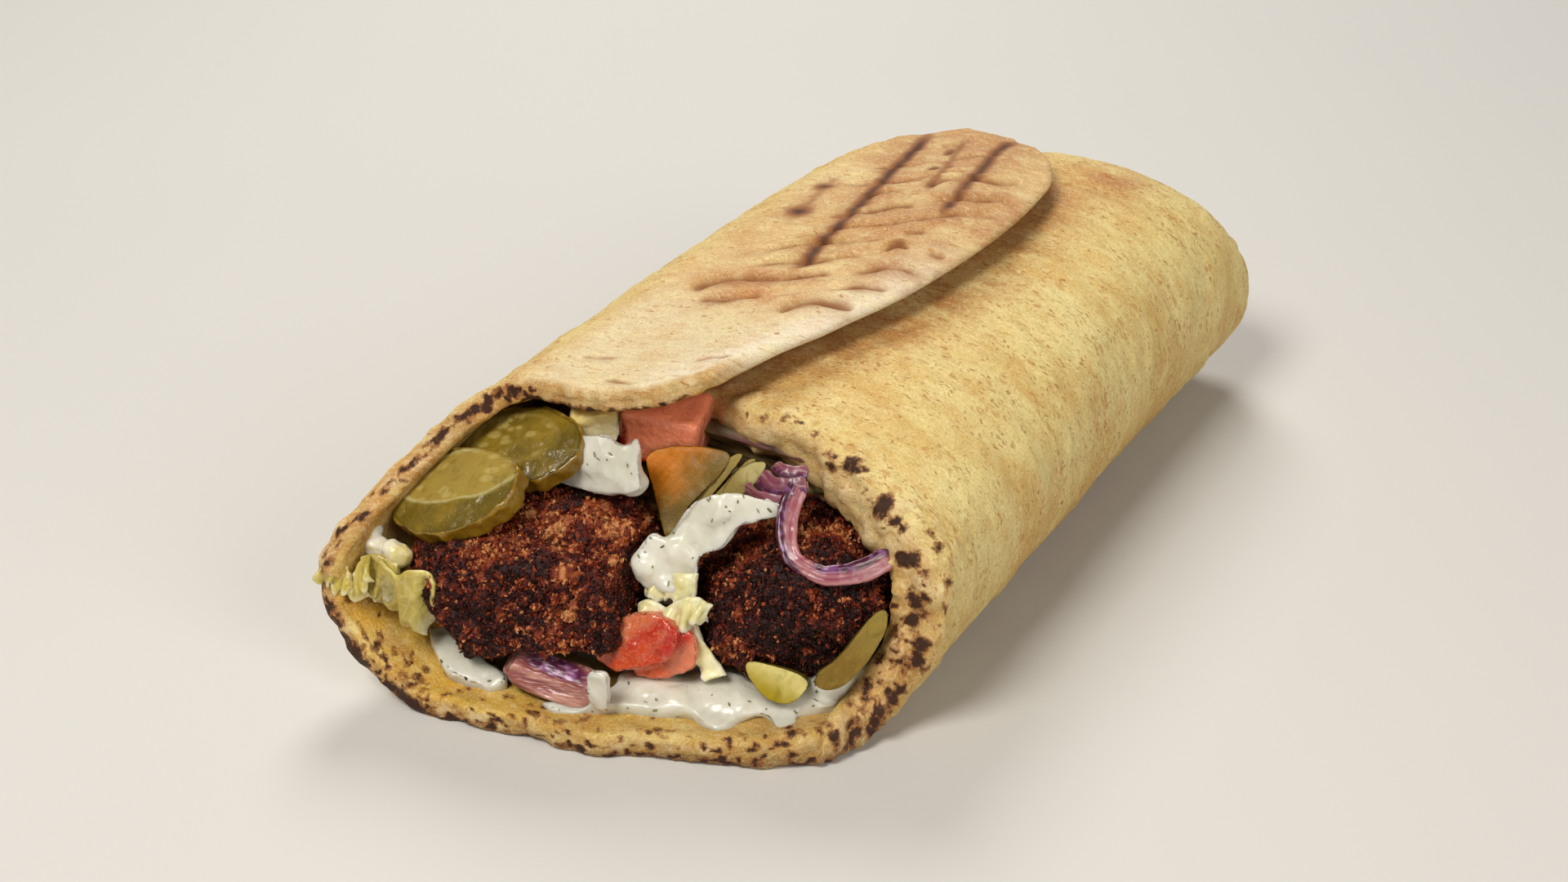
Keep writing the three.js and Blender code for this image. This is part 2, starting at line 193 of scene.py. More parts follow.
def grains(p, size, seed):
    """For each point: how far the nearest and the next of scattered grains lie, in grain sizes,
    and the nearest grain's own random number."""
    q = p / size
    cell = np.floor(q)
    first = np.full(len(p), 9.0)
    second = np.full(len(p), 9.0)
    tone = np.zeros(len(p))
    for offset in product((-1, 0, 1), repeat=3):
        c = cell + offset
        jitter = np.stack([hashed(c, seed + k) for k in range(3)], axis=-1)
        d = np.linalg.norm(q - c - 0.1 - 0.8 * jitter, axis=-1)
        closer = d < first
        second = np.where(closer, first, np.minimum(second, d))
        tone = np.where(closer, hashed(c, seed + 7), tone)
        first = np.minimum(first, d)
    return first, second, tone


# ---- meshes --------------------------------------------------------------------------------------


def groups_of(faces):
    """Faces as arrays with the same number of corners each."""
    return faces if isinstance(faces, list) else [faces]


def normals(points, faces):
    """Each point's normal, smooth over the faces round it."""
    total = np.zeros_like(points)
    for group in groups_of(faces):
        corners = points[group]
        if group.shape[1] == 3:
            n = np.cross(corners[:, 1] - corners[:, 0], corners[:, 2] - corners[:, 0])
        else:
            n = np.cross(corners[:, 2] - corners[:, 0], corners[:, 3] - corners[:, 1])
        for k in range(group.shape[1]):
            np.add.at(total, group[:, k], n)
    return unit(total)


def pushed(points, faces, out):
    """Points moved out along their normals, by a length for each."""
    return points + normals(points, faces) * out[:, None]


def fan(ring, tip):
    """Triangles from a closed ring of points to one point."""
    return np.stack([ring, np.roll(ring, -1), np.full(len(ring), tip)], axis=1)


def mesh_from(name, points, faces, smooth=True):
    mesh = bpy.data.meshes.new(name)
    groups = groups_of(faces)
    sizes = np.concatenate([np.full(len(g), g.shape[1]) for g in groups])
    corners = np.concatenate([g.ravel() for g in groups])
    mesh.vertices.add(len(points))
    mesh.vertices.foreach_set("co", np.ascontiguousarray(points, np.float32).ravel())
    mesh.loops.add(len(corners))
    mesh.loops.foreach_set("vertex_index", corners.astype(np.int32))
    mesh.polygons.add(len(sizes))
    starts = np.concatenate([[0], np.cumsum(sizes)[:-1]])
    mesh.polygons.foreach_set("loop_start", starts.astype(np.int32))
    mesh.polygons.foreach_set("use_smooth", np.full(len(sizes), smooth))
    mesh.update(calc_edges=True)
    return mesh


def linked(name, data):
    """A new object in the scene."""
    made = bpy.data.objects.new(name, data)
    bpy.context.scene.collection.objects.link(made)
    return made


def piece(name, points, faces, slot, look, stands_for=(), crisp=False, **fields):
    """A Blender object from points in millimetres, with facets that show if it is crisp. Fields
    are numbers, colours or vectors that its material reads at each vertex."""
    mesh = mesh_from(name, (points + SHIFT) * MM, faces, not crisp)
    for key, values in fields.items():
        values = np.broadcast_to(values, (len(points),) + np.shape(values)[1:])
        kind, part = ("FLOAT", "value") if values.ndim == 1 else ("FLOAT_VECTOR", "vector")
        if key == "paint":
            kind, part = "FLOAT_COLOR", "color"
            values = np.column_stack([values, np.ones(len(points))])
        field = mesh.attributes.new(key, kind, "POINT")
        field.data.foreach_set(part, np.ascontiguousarray(values, np.float32).ravel())
    mesh.materials.append(look)
    made = linked(name, mesh)
    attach(made, "root")
    if stands_for:
        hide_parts(*stands_for)
    return made


def face_outward(made):
    """Turns all the faces of a closed mesh the right way out."""
    bm = bmesh.new()
    bm.from_mesh(made.data)
    bmesh.ops.recalc_face_normals(bm, faces=bm.faces)
    bm.to_mesh(made.data)
    bm.free()


@lru_cache
def ball(level):
    """A unit sphere of even triangles."""
    bm = bmesh.new()
    bmesh.ops.create_icosphere(bm, subdivisions=level, radius=1)
    points = np.array([v.co[:] for v in bm.verts])
    faces = np.array([[v.index for v in f.verts] for f in bm.faces])
    bm.free()
    return points, faces


def turned(points, turn):
    """Points turned by angles in degrees about X, then Y, then Z."""
    for axis, degrees in enumerate(turn):
        c, s = math.cos(math.radians(degrees)), math.sin(math.radians(degrees))
        i, j = [(1, 2), (2, 0), (0, 1)][axis]
        a, b = points[..., i], points[..., j]
        points = points.copy()
        points[..., i], points[..., j] = a * c - b * s, a * s + b * c
    return points


def lump(at, size, power, turn, level, cuts=(), focus=1.0):
    """A rounded lump: powers of 2 make an ellipsoid and more is squarer, and each cut is a plane
    (direction out, distance from the middle). Its facets are smaller toward the viewer when focus
    is under 1. Gives its points, faces, and the points on the unit sphere that they come from."""
    sphere, faces = ball(level)
    toward = turned(np.eye(3), turn) @ VIEWER
    along = sphere @ toward
    angle = np.arccos(np.clip(along, -1, 1))
    angle = angle * mix(focus, 1, angle / np.pi)
    sideways = unit(sphere - along[:, None] * toward)
    sphere = np.cos(angle)[:, None] * toward + np.sin(angle)[:, None] * sideways
    x, y, z = np.abs(sphere).T
    flat = (x ** power[0] + y ** power[0]) ** (1 / power[0])
    reach = (flat ** power[1] + z ** power[1]) ** (1 / power[1])
    points = sphere / reach[:, None] * (np.array(size) / 2)
    for direction, distance in cuts:
        out = unit(np.array(direction, float))
        points = points - out * np.maximum(0, points @ out - distance)[:, None]
    return turned(points, turn) + np.array(at), faces, sphere


def plate(outline, facing, thick):
    """A closed plate between copies of an outline, half its thickness to either side of it. The
    outline's corners are rounded and its points pushed along `facing` into one plane."""
    loop = np.array(outline, float)
    for _ in range(2):
        after = np.roll(loop, -1, axis=0)
        loop = np.stack([mix(loop, after, 0.25), mix(loop, after, 0.75)], axis=1).reshape(-1, 3)
    facing = unit(np.array(facing, float))
    middle = loop.mean(axis=0)
    square = unit(np.cross(loop - middle, np.roll(loop, -1, axis=0) - middle).sum(axis=0))
    if square @ facing < 0:
        loop, square = loop[::-1], -square
    loop = loop + facing * (((middle - loop) @ square) / (facing @ square))[:, None]
    cap = np.array(tessellate_polygon([[Vector(p) for p in loop]]))
    corners = loop[cap[0]]
    if np.cross(corners[1] - corners[0], corners[2] - corners[0]) @ facing < 0:
        cap = cap[:, ::-1]
    count = len(loop)
    rim, after = np.arange(count), np.roll(np.arange(count), -1)
    walls = [
        np.stack([rim + count, after + count, after], axis=1),
        np.stack([rim + count, after, rim], axis=1),
    ]
    faces = np.concatenate([cap, cap[:, ::-1] + count, *walls])
    return np.concatenate([loop + facing * thick / 2, loop - facing * thick / 2]), faces


def together(parts):
    """Several (points, faces) as one, with an array saying which part each point is from."""
    offset, points, faces, which = 0, [], [], []
    for k, (p, f) in enumerate(parts):
        points.append(p)
        faces.append(f + offset)
        which.append(np.full(len(p), k))
        offset += len(p)
    return np.concatenate(points), np.concatenate(faces), np.concatenate(which)


MELT_SMOOTHING = 0.6


def melted(parts, voxel, rounds, fillet):
    """Closed shapes run together into one smooth skin, with a fillet where they meet."""
    points, faces, _ = together([(p + normals(p, f) * fillet, f) for p, f in parts])
    body = linked("melting", mesh_from("melting", points, faces))
    remesh = body.modifiers.new("remesh", "REMESH")
    remesh.mode = "VOXEL"
    remesh.voxel_size = voxel
    smooth = body.modifiers.new("smooth", "SMOOTH")
    smooth.iterations = rounds
    smooth.factor = MELT_SMOOTHING
    made = body.evaluated_get(bpy.context.evaluated_depsgraph_get()).to_mesh()
    out = np.empty(len(made.vertices) * 3, np.float32)
    made.vertices.foreach_get("co", out)
    made.calc_loop_triangles()
    triangles = np.empty(len(made.loop_triangles) * 3, np.int32)
    made.loop_triangles.foreach_get("vertices", triangles)
    bpy.data.objects.remove(body)
    out, triangles = out.reshape(-1, 3).astype(float), triangles.reshape(-1, 3)
    return out - normals(out, triangles) * fillet, triangles


def smooth_path(points, steps):
    """Evenly spaced places along a smooth curve through the points."""
    points = np.array(points, float)
    reach = np.concatenate([[0], np.cumsum(np.linalg.norm(np.diff(points, axis=0), axis=1))])
    at = np.linspace(0, reach[-1], steps + 1)
    return np.stack([through(np.column_stack([reach, points[:, k]]), at) for k in range(3)], axis=1)


def grid_faces(rows, columns, wrap=False):
    """Quads over a grid of points stored row by row; wrap joins each row's end to its start."""
    i, j = np.meshgrid(np.arange(rows - 1), np.arange(columns - (0 if wrap else 1)), indexing="ij")
    next_j = (j + 1) % columns
    quads = [i * columns + j, i * columns + next_j, (i + 1) * columns + next_j, (i + 1) * columns + j]
    return np.stack(quads, axis=-1).reshape(-1, 4)


TUBE_TAPER = 0.5  # a tube narrows toward its ends to the root of this share of its size
TUBE_TIP = 0.35  # and its end rings to this share of that


def tube(path, facing, wide, thick, around, power):
    """A strip swept along a path, its width square to `facing`. Gives points, faces, and each
    point's place across (-1 to 1), through (-1 to 1) and along (0 to 1)."""
    steps = len(path)
    ahead = unit(np.gradient(path, axis=0))
    sideways = unit(np.cross(ahead, np.asarray(facing, float)))
    deep = np.cross(sideways, ahead)
    share = np.linspace(0, 1, steps)
    ends = np.minimum(share, 1 - share) * steps
    size = np.sqrt(np.clip(TUBE_TAPER + (1 - TUBE_TAPER) * ends / 4, 0, 1))
    size[[0, -1]] *= TUBE_TIP
    angle = np.arange(around) / around * 2 * np.pi
    across, inward = swell(np.cos(angle), 2 / power), swell(np.sin(angle), 2 / power)
    wide, thick = np.broadcast_to(wide, steps), np.broadcast_to(thick, steps)
    points = (
        path[:, None]
        + sideways[:, None] * (across * (size * wide / 2)[:, None])[..., None]
        + deep[:, None] * (inward * (size * thick / 2)[:, None])[..., None]
    )
    faces = grid_faces(steps, around, wrap=True)
    caps = np.arange(around)[::-1], np.arange(around) + (steps - 1) * around
    place = [np.broadcast_to(v, (steps, around)).ravel() for v in (across, inward, share[:, None])]
    triangles = np.concatenate([faces[:, [0, 1, 2]], faces[:, [0, 2, 3]]])
    fans = [np.stack([np.full(around - 2, cap[0]), cap[1:-1], cap[2:]], axis=1) for cap in caps]
    return points.reshape(-1, 3), np.concatenate([triangles, *fans])[:, ::-1], place


# ---- materials -----------------------------------------------------------------------------------


class Look:
    """A node material, written as nested calls. Lengths in it are millimetres."""

    def __init__(self, name, **sockets):
        self.material = bpy.data.materials.new(name)
        self.material.use_nodes = True
        self.tree = self.material.node_tree
        self.shader = self.tree.nodes["Principled BSDF"]
        for key, value in sockets.items():
            self.shader.inputs[key.replace("_", " ")].default_value = value
        place = self.node("TexCoord", {}).outputs["Object"]
        self.mm = self.scaled(place, (1 / MM,) * 3)

    def node(self, kind, inputs, **settings):
        made = self.tree.nodes.new("ShaderNode" + kind)
        for key, value in settings.items():
            setattr(made, key, value)
        for key, value in inputs.items():
            self.join(value, made.inputs[key])
        return made

    def join(self, value, socket):
        if isinstance(value, bpy.types.NodeSocket):
            self.tree.links.new(value, socket)
        elif socket.type == "RGBA":
            socket.default_value = (*value, 1)
        else:
            socket.default_value = value

    def field(self, name, kind="Fac"):
        return self.node("Attribute", {}, attribute_name=name).outputs[kind]

    def scaled(self, vector, by):
        return self.node("VectorMath", {0: vector, 1: by}, operation="MULTIPLY").outputs[0]

    def noise(self, size, at=None, detail=3, rough=0.55, bend=0):
        inputs = {
            "Vector": at or self.mm, "Scale": 1 / size, "Detail": detail, "Roughness": rough,
            "Distortion": bend,
        }
        return self.node("TexNoise", inputs).outputs["Fac"]

    def cells(self, size, at=None, feature="F1"):
        inputs = {"Vector": at or self.mm, "Scale": 1 / size}
        return self.node("TexVoronoi", inputs, feature=feature)

    def step(self, value, low, high):
        inputs = {"Value": value, "From Min": low, "From Max": high}
        return self.node("MapRange", inputs, interpolation_type="SMOOTHSTEP").outputs[0]

    def shifted(self, vector, by):
        return self.node("VectorMath", {0: vector, 1: by}, operation="ADD").outputs[0]

    def flecks(self, at, squeeze, share, radius):
        """Soft spots in that share of the cells of a squeezed grid."""
        spots = self.cells(1, self.scaled(at, squeeze))
        chosen = self.step(self.sum(share, self.times(spots.outputs["Color"], -1)), 0, 0.08)
        return self.times(self.step(spots.outputs["Distance"], radius, radius * 0.45), chosen)

    def sum(self, a, b):
        return self.node("Math", {0: a, 1: b}, operation="ADD").outputs[0]

    def times(self, a, b):
        return self.node("Math", {0: a, 1: b}, operation="MULTIPLY").outputs[0]

    def most(self, a, b):
        return self.node("Math", {0: a, 1: b}, operation="MAXIMUM").outputs[0]

    def blend(self, share, a, b, how="MIX"):
        made = self.node("Mix", {0: share, 6: a, 7: b}, data_type="RGBA", blend_type=how)
        return made.outputs[2]

    def stain(self, colour, over, strength, value, low, high):
        """Another colour over the first, where a value has gone from low to high."""
        return self.blend(self.times(self.step(value, low, high), strength), colour, over)

    def spread(self, value, low, high):
        """A value from 0 to 1 as one from low to high."""
        return self.node("MapRange", {"Value": value, "To Min": low, "To Max": high}).outputs[0]

    def finish(self, colour, height=None, depth=0.3, strength=1.0, roughness=None):
        """The material, with bumps of that depth and strength where a height is given."""
        self.join(colour, self.shader.inputs["Base Color"])
        if height is not None:
            inputs = {"Height": height, "Distance": depth * MM, "Strength": strength}
            self.join(self.node("Bump", inputs).outputs[0], self.shader.inputs["Normal"])
        if roughness is not None:
            self.join(roughness, self.shader.inputs["Roughness"])
        return self.material


CHAR = rgb(44, 17, 10)
TOASTED = rgb(140, 82, 38)
# The bread's natural mottling from broad to fine, as (how strong, lighter, darker).
BREAD_LAYERS = [
    (0.32, rgb(240, 226, 160), rgb(202, 148, 70)),
    (0.26, rgb(244, 230, 168), rgb(198, 144, 70)),
    (0.3, rgb(246, 234, 180), rgb(186, 132, 62)),
    (0.3, rgb(248, 238, 190), rgb(176, 122, 56)),
]


def bread_look():
    """Baked dough: paint gives the broad colour, flat the place on the unrolled sheet, scorch the
    soft marks, some of them painted shade of the creases, and burn the ragged charred ones, speck
    how many brown flecks there are and oil how wet it is."""
    look = Look(
        "bread_crust", Roughness=0.6, Subsurface_Weight=0.08, Subsurface_Scale=0.0015,
        Specular_IOR_Level=0.3,
    )
    flat = look.field("flat", "Vector")
    swirl = look.node("TexNoise", {"Vector": flat, "Scale": 0.45, "Detail": 3}).outputs["Color"]
    flat = look.shifted(flat, look.scaled(look.shifted(swirl, (-0.5, -0.5, -0.5)), (2.2, 2.2, 0)))
    hairs = look.noise(1, look.scaled(flat, (0.8, 2.3, 1)), detail=5, rough=0.68)
    felt = look.noise(0.42, detail=4, rough=0.7)
    streaks = look.noise(1, look.scaled(flat, (0.2, 0.6, 1)), detail=4, rough=0.6)
    clouds = look.noise(9, detail=5, rough=0.62)

    colour = look.field("paint", "Color")
    for field, (share, lighter, darker) in zip((clouds, streaks, hairs, felt), BREAD_LAYERS):
        colour = look.stain(colour, lighter, share, field, 0.5, 0.66)
        colour = look.stain(colour, darker, share, field, 0.5, 0.34)

    speck = look.field("speck")
    patchy = look.times(speck, look.step(look.noise(6, detail=2), 0.36, 0.6))
    blotches = look.flecks(flat, (0.3, 0.62, 1), look.times(patchy, 0.85), 0.4)
    dashes = look.flecks(flat, (0.5, 1.15, 1), patchy, 0.33)
    dots = look.flecks(flat, (1.15, 1.9, 1), look.times(speck, 0.55), 0.36)
    colour = look.blend(look.times(blotches, 0.5), colour, rgb(188, 128, 62))
    colour = look.blend(look.times(dashes, 0.7), colour, rgb(164, 100, 44))
    colour = look.blend(look.times(dots, 0.5), colour, rgb(138, 82, 36))

    # scorch holds toasting and grill marks, and the painted shade of the flap's creases
    scorch = look.times(look.field("scorch"), look.sum(0.75, look.times(felt, 0.5)))
    colour = look.stain(colour, rgb(146, 88, 46), 0.85, scorch, 0.02, 0.5)
    colour = look.stain(colour, rgb(70, 36, 20), 0.9, scorch, 0.4, 1.0)
    rag = look.times(look.sum(look.noise(0.9, detail=5, rough=0.7), -0.5), 1.5)
    ragged = look.sum(look.field("burn"), look.times(rag, look.step(look.field("burn"), 0, 0.25)))
    colour = look.stain(colour, TOASTED, 0.8, ragged, 0.1, 0.45)
    colour = look.stain(colour, CHAR, 0.92, ragged, 0.38, 0.68)
    height = look.sum(look.times(hairs, 0.8), look.times(felt, 0.8))
    height = look.sum(height, look.times(look.most(dashes, dots), -0.12))
    wet = look.spread(look.field("oil"), 0.66, 0.25)
    return look.finish(colour, height, depth=0.42, strength=0.6, roughness=wet)


# Colours of the fried crust, from its darkest crumbs to its palest.
CRUST_TONES = [
    (0.0, rgb(18, 3, 3)), (0.26, rgb(38, 8, 6)), (0.46, rgb(70, 18, 11)),
    (0.64, rgb(120, 42, 19)), (0.8, rgb(162, 77, 36)), (1.0, rgb(208, 142, 90)),
]


def falafel_look():
    """A dark fried crust: tone is each crumb's own colour, and the crevices between crumbs get painted
    shade.
    """
    look = Look("falafel_crust", Roughness=0.42, Specular_IOR_Level=0.28)
    tone = look.field("tone")
    ramp = look.node("ValToRGB", {"Fac": look.sum(tone, look.times(look.noise(0.7), 0.3))})
    elements = ramp.color_ramp.elements
    elements.remove(elements[1])
    for place, colour in CRUST_TONES:
        elements.new(place).color = (*colour, 1)
    elements.remove(elements[0])
    # painted shade: the crevices between crumbs are darkened toward black
    colour = look.blend(look.field("crevice"), ramp.outputs["Color"], rgb(12, 2, 1))
    tiny = look.cells(0.5).outputs["Distance"]
    height = look.sum(look.times(tiny, -0.8), look.noise(0.3, detail=2))
    shine = look.spread(look.noise(0.8), 0.25, 0.65)
    return look.finish(colour, height, depth=0.25, strength=0.8, roughness=shine)


def pickle_look(name, roughness, coat, depth, shine, glow):
    """Pickled cucumber: paint runs from the rind to the seeds, and it is wet all over."""
    look = Look(
        name, Roughness=roughness, Subsurface_Weight=glow, Subsurface_Scale=0.004,
        Subsurface_Radius=(1.0, 0.9, 0.25), Coat_Weight=coat, Coat_Roughness=0.12,
        Specular_IOR_Level=shine,
    )
    colour = look.field("paint", "Color")
    veins = look.noise(3.2, detail=4, bend=1.2)
    colour = look.stain(colour, rgb(164, 142, 56), 0.35, veins, 0.5, 0.75)
    colour = look.stain(colour, rgb(88, 72, 18), 0.35, veins, 0.5, 0.28)
    grain = look.noise(0.45, detail=3)
    colour = look.stain(colour, rgb(204, 190, 110), 0.2, grain, 0.55, 0.8)
    return look.finish(colour, look.sum(grain, look.times(veins, 2)), depth=depth, strength=0.5)


def tomato_look():
    look = Look(
        "tomato_flesh", Roughness=0.2, Subsurface_Weight=0.3, Subsurface_Scale=0.003,
        Subsurface_Radius=(1.0, 0.25, 0.1), Coat_Weight=0.5, Coat_Roughness=0.1,
    )
    colour = look.field("paint", "Color")
    threads = look.noise(1.6, detail=5, rough=0.7, bend=0.8)
    colour = look.stain(colour, rgb(236, 150, 104), 0.5, threads, 0.52, 0.72)
    colour = look.stain(colour, rgb(204, 54, 26), 0.35, threads, 0.46, 0.3)
    cells = look.cells(0.5).outputs["Distance"]
    colour = look.stain(colour, rgb(250, 190, 150), 0.16, cells, 0.5, 0.1)
    return look.finish(colour, look.sum(threads, look.times(cells, -0.4)), depth=0.3, strength=0.55)


def onion_look():
    look = Look(
        "onion_layers", Roughness=0.3, Subsurface_Weight=0.3, Subsurface_Scale=0.003,
        Coat_Weight=0.28, Coat_Roughness=0.14,
    )
    colour = look.field("paint", "Color")
    lines = look.noise(1, look.scaled(look.field("flat", "Vector"), (0.12, 2.2, 1)), detail=3)
    colour = look.stain(colour, rgb(232, 200, 204), 0.4, lines, 0.52, 0.7)
    colour = look.stain(colour, rgb(120, 34, 84), 0.4, lines, 0.48, 0.32)
    return look.finish(colour, lines, depth=0.2, strength=0.6)


def leaf_look():
    """Crisp pale leaves: paint gives the colour from rib to frill, thin parts let light through."""
    look = Look(
        "leaf_crisp", Roughness=0.34, Subsurface_Weight=0.45, Subsurface_Scale=0.003,
        Subsurface_Radius=(0.8, 1.0, 0.3), Coat_Weight=0.2, Coat_Roughness=0.2,
    )
    colour = look.field("paint", "Color")
    veins = look.cells(2.4, feature="DISTANCE_TO_EDGE").outputs["Distance"]
    colour = look.stain(colour, rgb(238, 232, 180), 0.16, veins, 0.12, 0.02)
    blotch = look.noise(2.2, detail=4)
    colour = look.stain(colour, rgb(196, 172, 70), 0.35, blotch, 0.5, 0.7)
    colour = look.stain(colour, rgb(244, 236, 176), 0.3, blotch, 0.48, 0.3)
    height = look.sum(look.times(look.step(veins, 0.0, 0.2), -0.35), look.noise(1.2))
    return look.finish(colour, height, depth=0.22, strength=0.45)


def sauce_look():
    """Thick yogurt sauce, faintly green, with fine herb dust in it."""
    look = Look(
        "sauce_yogurt", Roughness=0.3, Subsurface_Weight=0.6, Subsurface_Scale=0.004,
        Subsurface_Radius=(1.0, 0.95, 0.8), Coat_Weight=0.25, Coat_Roughness=0.15,
        Specular_IOR_Level=0.4,
    )
    tint = look.noise(5, detail=3)
    colour = look.blend(look.step(tint, 0.35, 0.7), rgb(238, 235, 220), rgb(222, 220, 202))
    # the tone field is each sauce's painted shade
    colour = look.blend(1.0, colour, look.field("tone", "Color"), "MULTIPLY")
    dust = look.cells(1.5)
    few = look.step(dust.outputs["Color"], 0.3, 0.24)
    colour = look.blend(
        look.times(look.times(look.step(dust.outputs["Distance"], 0.2, 0.1), few), 0.75),
        colour, rgb(92, 104, 74),
    )
    return look.finish(colour, look.noise(1.8, detail=3), depth=0.35, strength=0.35)


def plain_paint_look(name, grain):
    """For the herbs and the salad behind: their paint, with grains of that size in mm."""
    look = Look(name, Roughness=0.5, Subsurface_Weight=0.1, Subsurface_Scale=0.001)
    spots = look.noise(grain, detail=3)
    colour = look.blend(
        look.step(spots, 0.3, 0.7), look.field("paint", "Color"), (0.85, 0.85, 0.85), "MULTIPLY"
    )
    return look.finish(colour, spots, depth=0.12, strength=0.6)


# ---- the bread -----------------------------------------------------------------------------------


def round_off(y, over):
    """How full the tucked end is at y, where it is rounded off over that length."""
    into = np.clip((y - END_Y + over) / over, 0, 1)
    return np.sqrt(1 - into * into)


def outside(around, y):
    """The bread's outer surface at a position round the section (0 to 7) and along the wrap."""
    around, y = np.broadcast_arrays(np.asarray(around, float), np.asarray(y, float))
    r = {name: through(table, y) for name, table in ROLL.items()}
    part = np.minimum(6, np.floor(around)).astype(int)
    t = around - part
    cos, sin = np.cos(t * np.pi / 2), np.sin(t * np.pi / 2)
    full = 2 / SHOULDER_POWER
    right_top = r["wall_right"] - r["shoulder_right"]
    right_foot = r["wall_right"] - r["foot_right"]
    left_foot = r["foot_left"] - r["wall_left"]
    left_top = r["shoulder_left"] - r["wall_left"]
    x = np.choose(part, [
        right_top - FOLD_REACH * (1 - t),
        right_top + r["shoulder_right"] * swell(sin, full),
        right_foot + r["foot_right"] * cos,
        mix(right_foot, left_foot, t),
        left_foot - r["foot_left"] * sin,
        left_top - r["shoulder_left"] * cos,
        mix(left_top, FLAP_TIP_X, t),
    ])
    z = np.choose(part, [
        r["top_right"] - FOLD_DIP * (1 - t) ** 2,
        r["bulge_right"] + (r["top_right"] - r["bulge_right"]) * swell(cos, full),
        r["bulge_right"] * (1 - sin),
        0 * t,
        r["bulge_left"] * (1 - cos),
        r["bulge_left"] + (r["top_left"] - r["bulge_left"]) * sin,
        r["top_left"] + r["flap_rise"] * t * t * (3 - 2 * t),
    ])
    height = round_off(y, np.where(z > END_MIDDLE_Z, END_ABOVE, END_BELOW))
    inset = END_CORNER * (1 - round_off(y, END_CORNER))
    wall = np.where(x > 0, r["wall_right"], r["wall_left"])
    return np.stack([x * (1 - inset / wall), y, END_MIDDLE_Z + (z - END_MIDDLE_Z) * height], axis=-1)


NUDGE = 0.02


def inward(around, y):
    """Square to the outer surface, into the bread."""
    across = outside(np.minimum(7, around + NUDGE), y) - outside(np.maximum(0, around - NUDGE), y)
    along = outside(around, y + NUDGE) - outside(around, y - NUDGE)
    return unit(np.cross(along, across))


# Facets of the sheet: across each seventh of the section, and along it from the near rim.
SHEET_ACROSS = (14, 64, 40, 70, 50, 42, 84)
EDGE_ROUND = 8  # of the flap's last columns, over its rounded free edge
EDGE_SLIMMER = 0.42  # how much thinner the flap is there
FLAP_WIDE = 48  # mm across the last seventh
RIM_ROWS = 13
NEAR_ROWS = 30
MIDDLE_ROWS = 150
MIDDLE_SHARES = (0, 0.2, 0.93, 1), (0, 0.26, 0.88, 1)  # the rows are closest over the flap's creases
FAR_ROWS = 8
INSIDE_SKIP = 8  # rows of the inner face are this much further apart, away from the near rim
NEAR_ZONE = 18
FAR_ZONE = 4
RIM_ROUND = 0.4  # a rim's rounding reaches this share of its thickness along the sheet
RIM_POWER = 3.2  # and is this much squarer than a circle's 2
RIM_FORWARD = 0.22  # and the rim starts this share before its line

# Creases across the flap, as (points in mm, depth, width, how brown). Their marks are toasting with
# painted shade of the trough.
CREASES = [
    ([(-12.6, 59.7), (-6, 65), (-1.2, 68.4)], 0.3, 0.9, 0.35),
    ([(-25.1, 32.3), (-14, 37), (-4.6, 42.6), (2, 47)], 0.25, 0.8, 0.3),
    ([(-12.8, 28), (-10, 31.4), (-7.8, 33.9)], 0.55, 0.9, 0.75),
    ([(-2.7, 35.8), (-0.8, 39.4), (6, 41), (15.4, 44.3)], 0.45, 1.0, 0.5),
    ([(-15.9, 16.8), (-9, 20), (-2.2, 25.2), (-0.5, 23.4)], 0.5, 1.1, 0.65),
    ([(1.5, 28.2), (9, 31), (17, 35.3)], 0.6, 1.0, 0.7),
    ([(-17.5, 5.3), (-8, 12.4), (2, 17), (10, 23), (18.2, 27.2)], 0.45, 1.0, 0.45),
    ([(-18.9, -3.1), (-11, 3), (-4, 5), (1.6, 8.8)], 0.5, 1.0, 0.6),
    ([(3.9, 12.3), (7.9, 13.7)], 0.4, 0.9, 0.55),
    ([(-18.8, -11.3), (-12, -6), (-5, -3.4), (1.6, 0.1)], 0.5, 1.0, 0.6),
    ([(4, 3.2), (6, 5.6), (8.5, 5.4)], 0.55, 0.9, 0.8),
    ([(11.7, 5.1), (16.3, 6)], 0.35, 0.8, 0.4),
    ([(-22.9, -23.3), (-19.7, -17.7), (-12, -14.6), (-5.7, -12.5), (-0.7, -8.8)], 0.75, 1.3, 0.95),
    ([(3.8, -9.5), (8.7, -3.8), (13, -2.6), (17.3, -2.9)], 0.45, 1.1, 0.5),
    ([(-19.4, -26.5), (-13, -24.6), (-7.7, -22.2)], 0.6, 1.2, 0.8),
    ([(2.5, -16.3), (8, -12.6), (12.5, -10.9)], 0.4, 1.0, 0.45),
    ([(-1.9, -27.9), (0.9, -24), (6, -22), (10.8, -20.6)], 0.8, 1.5, 0.9),
    ([(-17.5, -61.6), (-13, -60.4), (-10.3, -60.2)], 0.2, 1.0, 0.12),
    ([(-14, 0.6), (-8, 4), (-3, 6.4)], 0.3, 0.8, 0.4),
    ([(-6, 52), (0, 55), (5, 58)], 0.3, 0.9, 0.4),
    ([(-20, 44), (-15, 47), (-10, 50)], 0.25, 0.9, 0.3),
    ([(-5, -51.6), (-2, -49), (0.2, -46.8)], 0.2, 0.9, 0.15),
    ([(-26.6, -54.6), (-20, -51.9)], 0.15, 1.0, 0.14),
]
# Lines that the grill has left on the flap, as (ends in mm, width, how dark).
GRILL = [
    ((-18.8, 71), (-7.4, -12), 1.5, 1.1),
    ((0.4, 72), (7.8, 20), 1.4, 1.0),
    ((-8.4, 66), (-1, 32), 1.2, 0.5),
    ((-24.6, 38), (-21.6, 12), 1.2, 0.4),
]
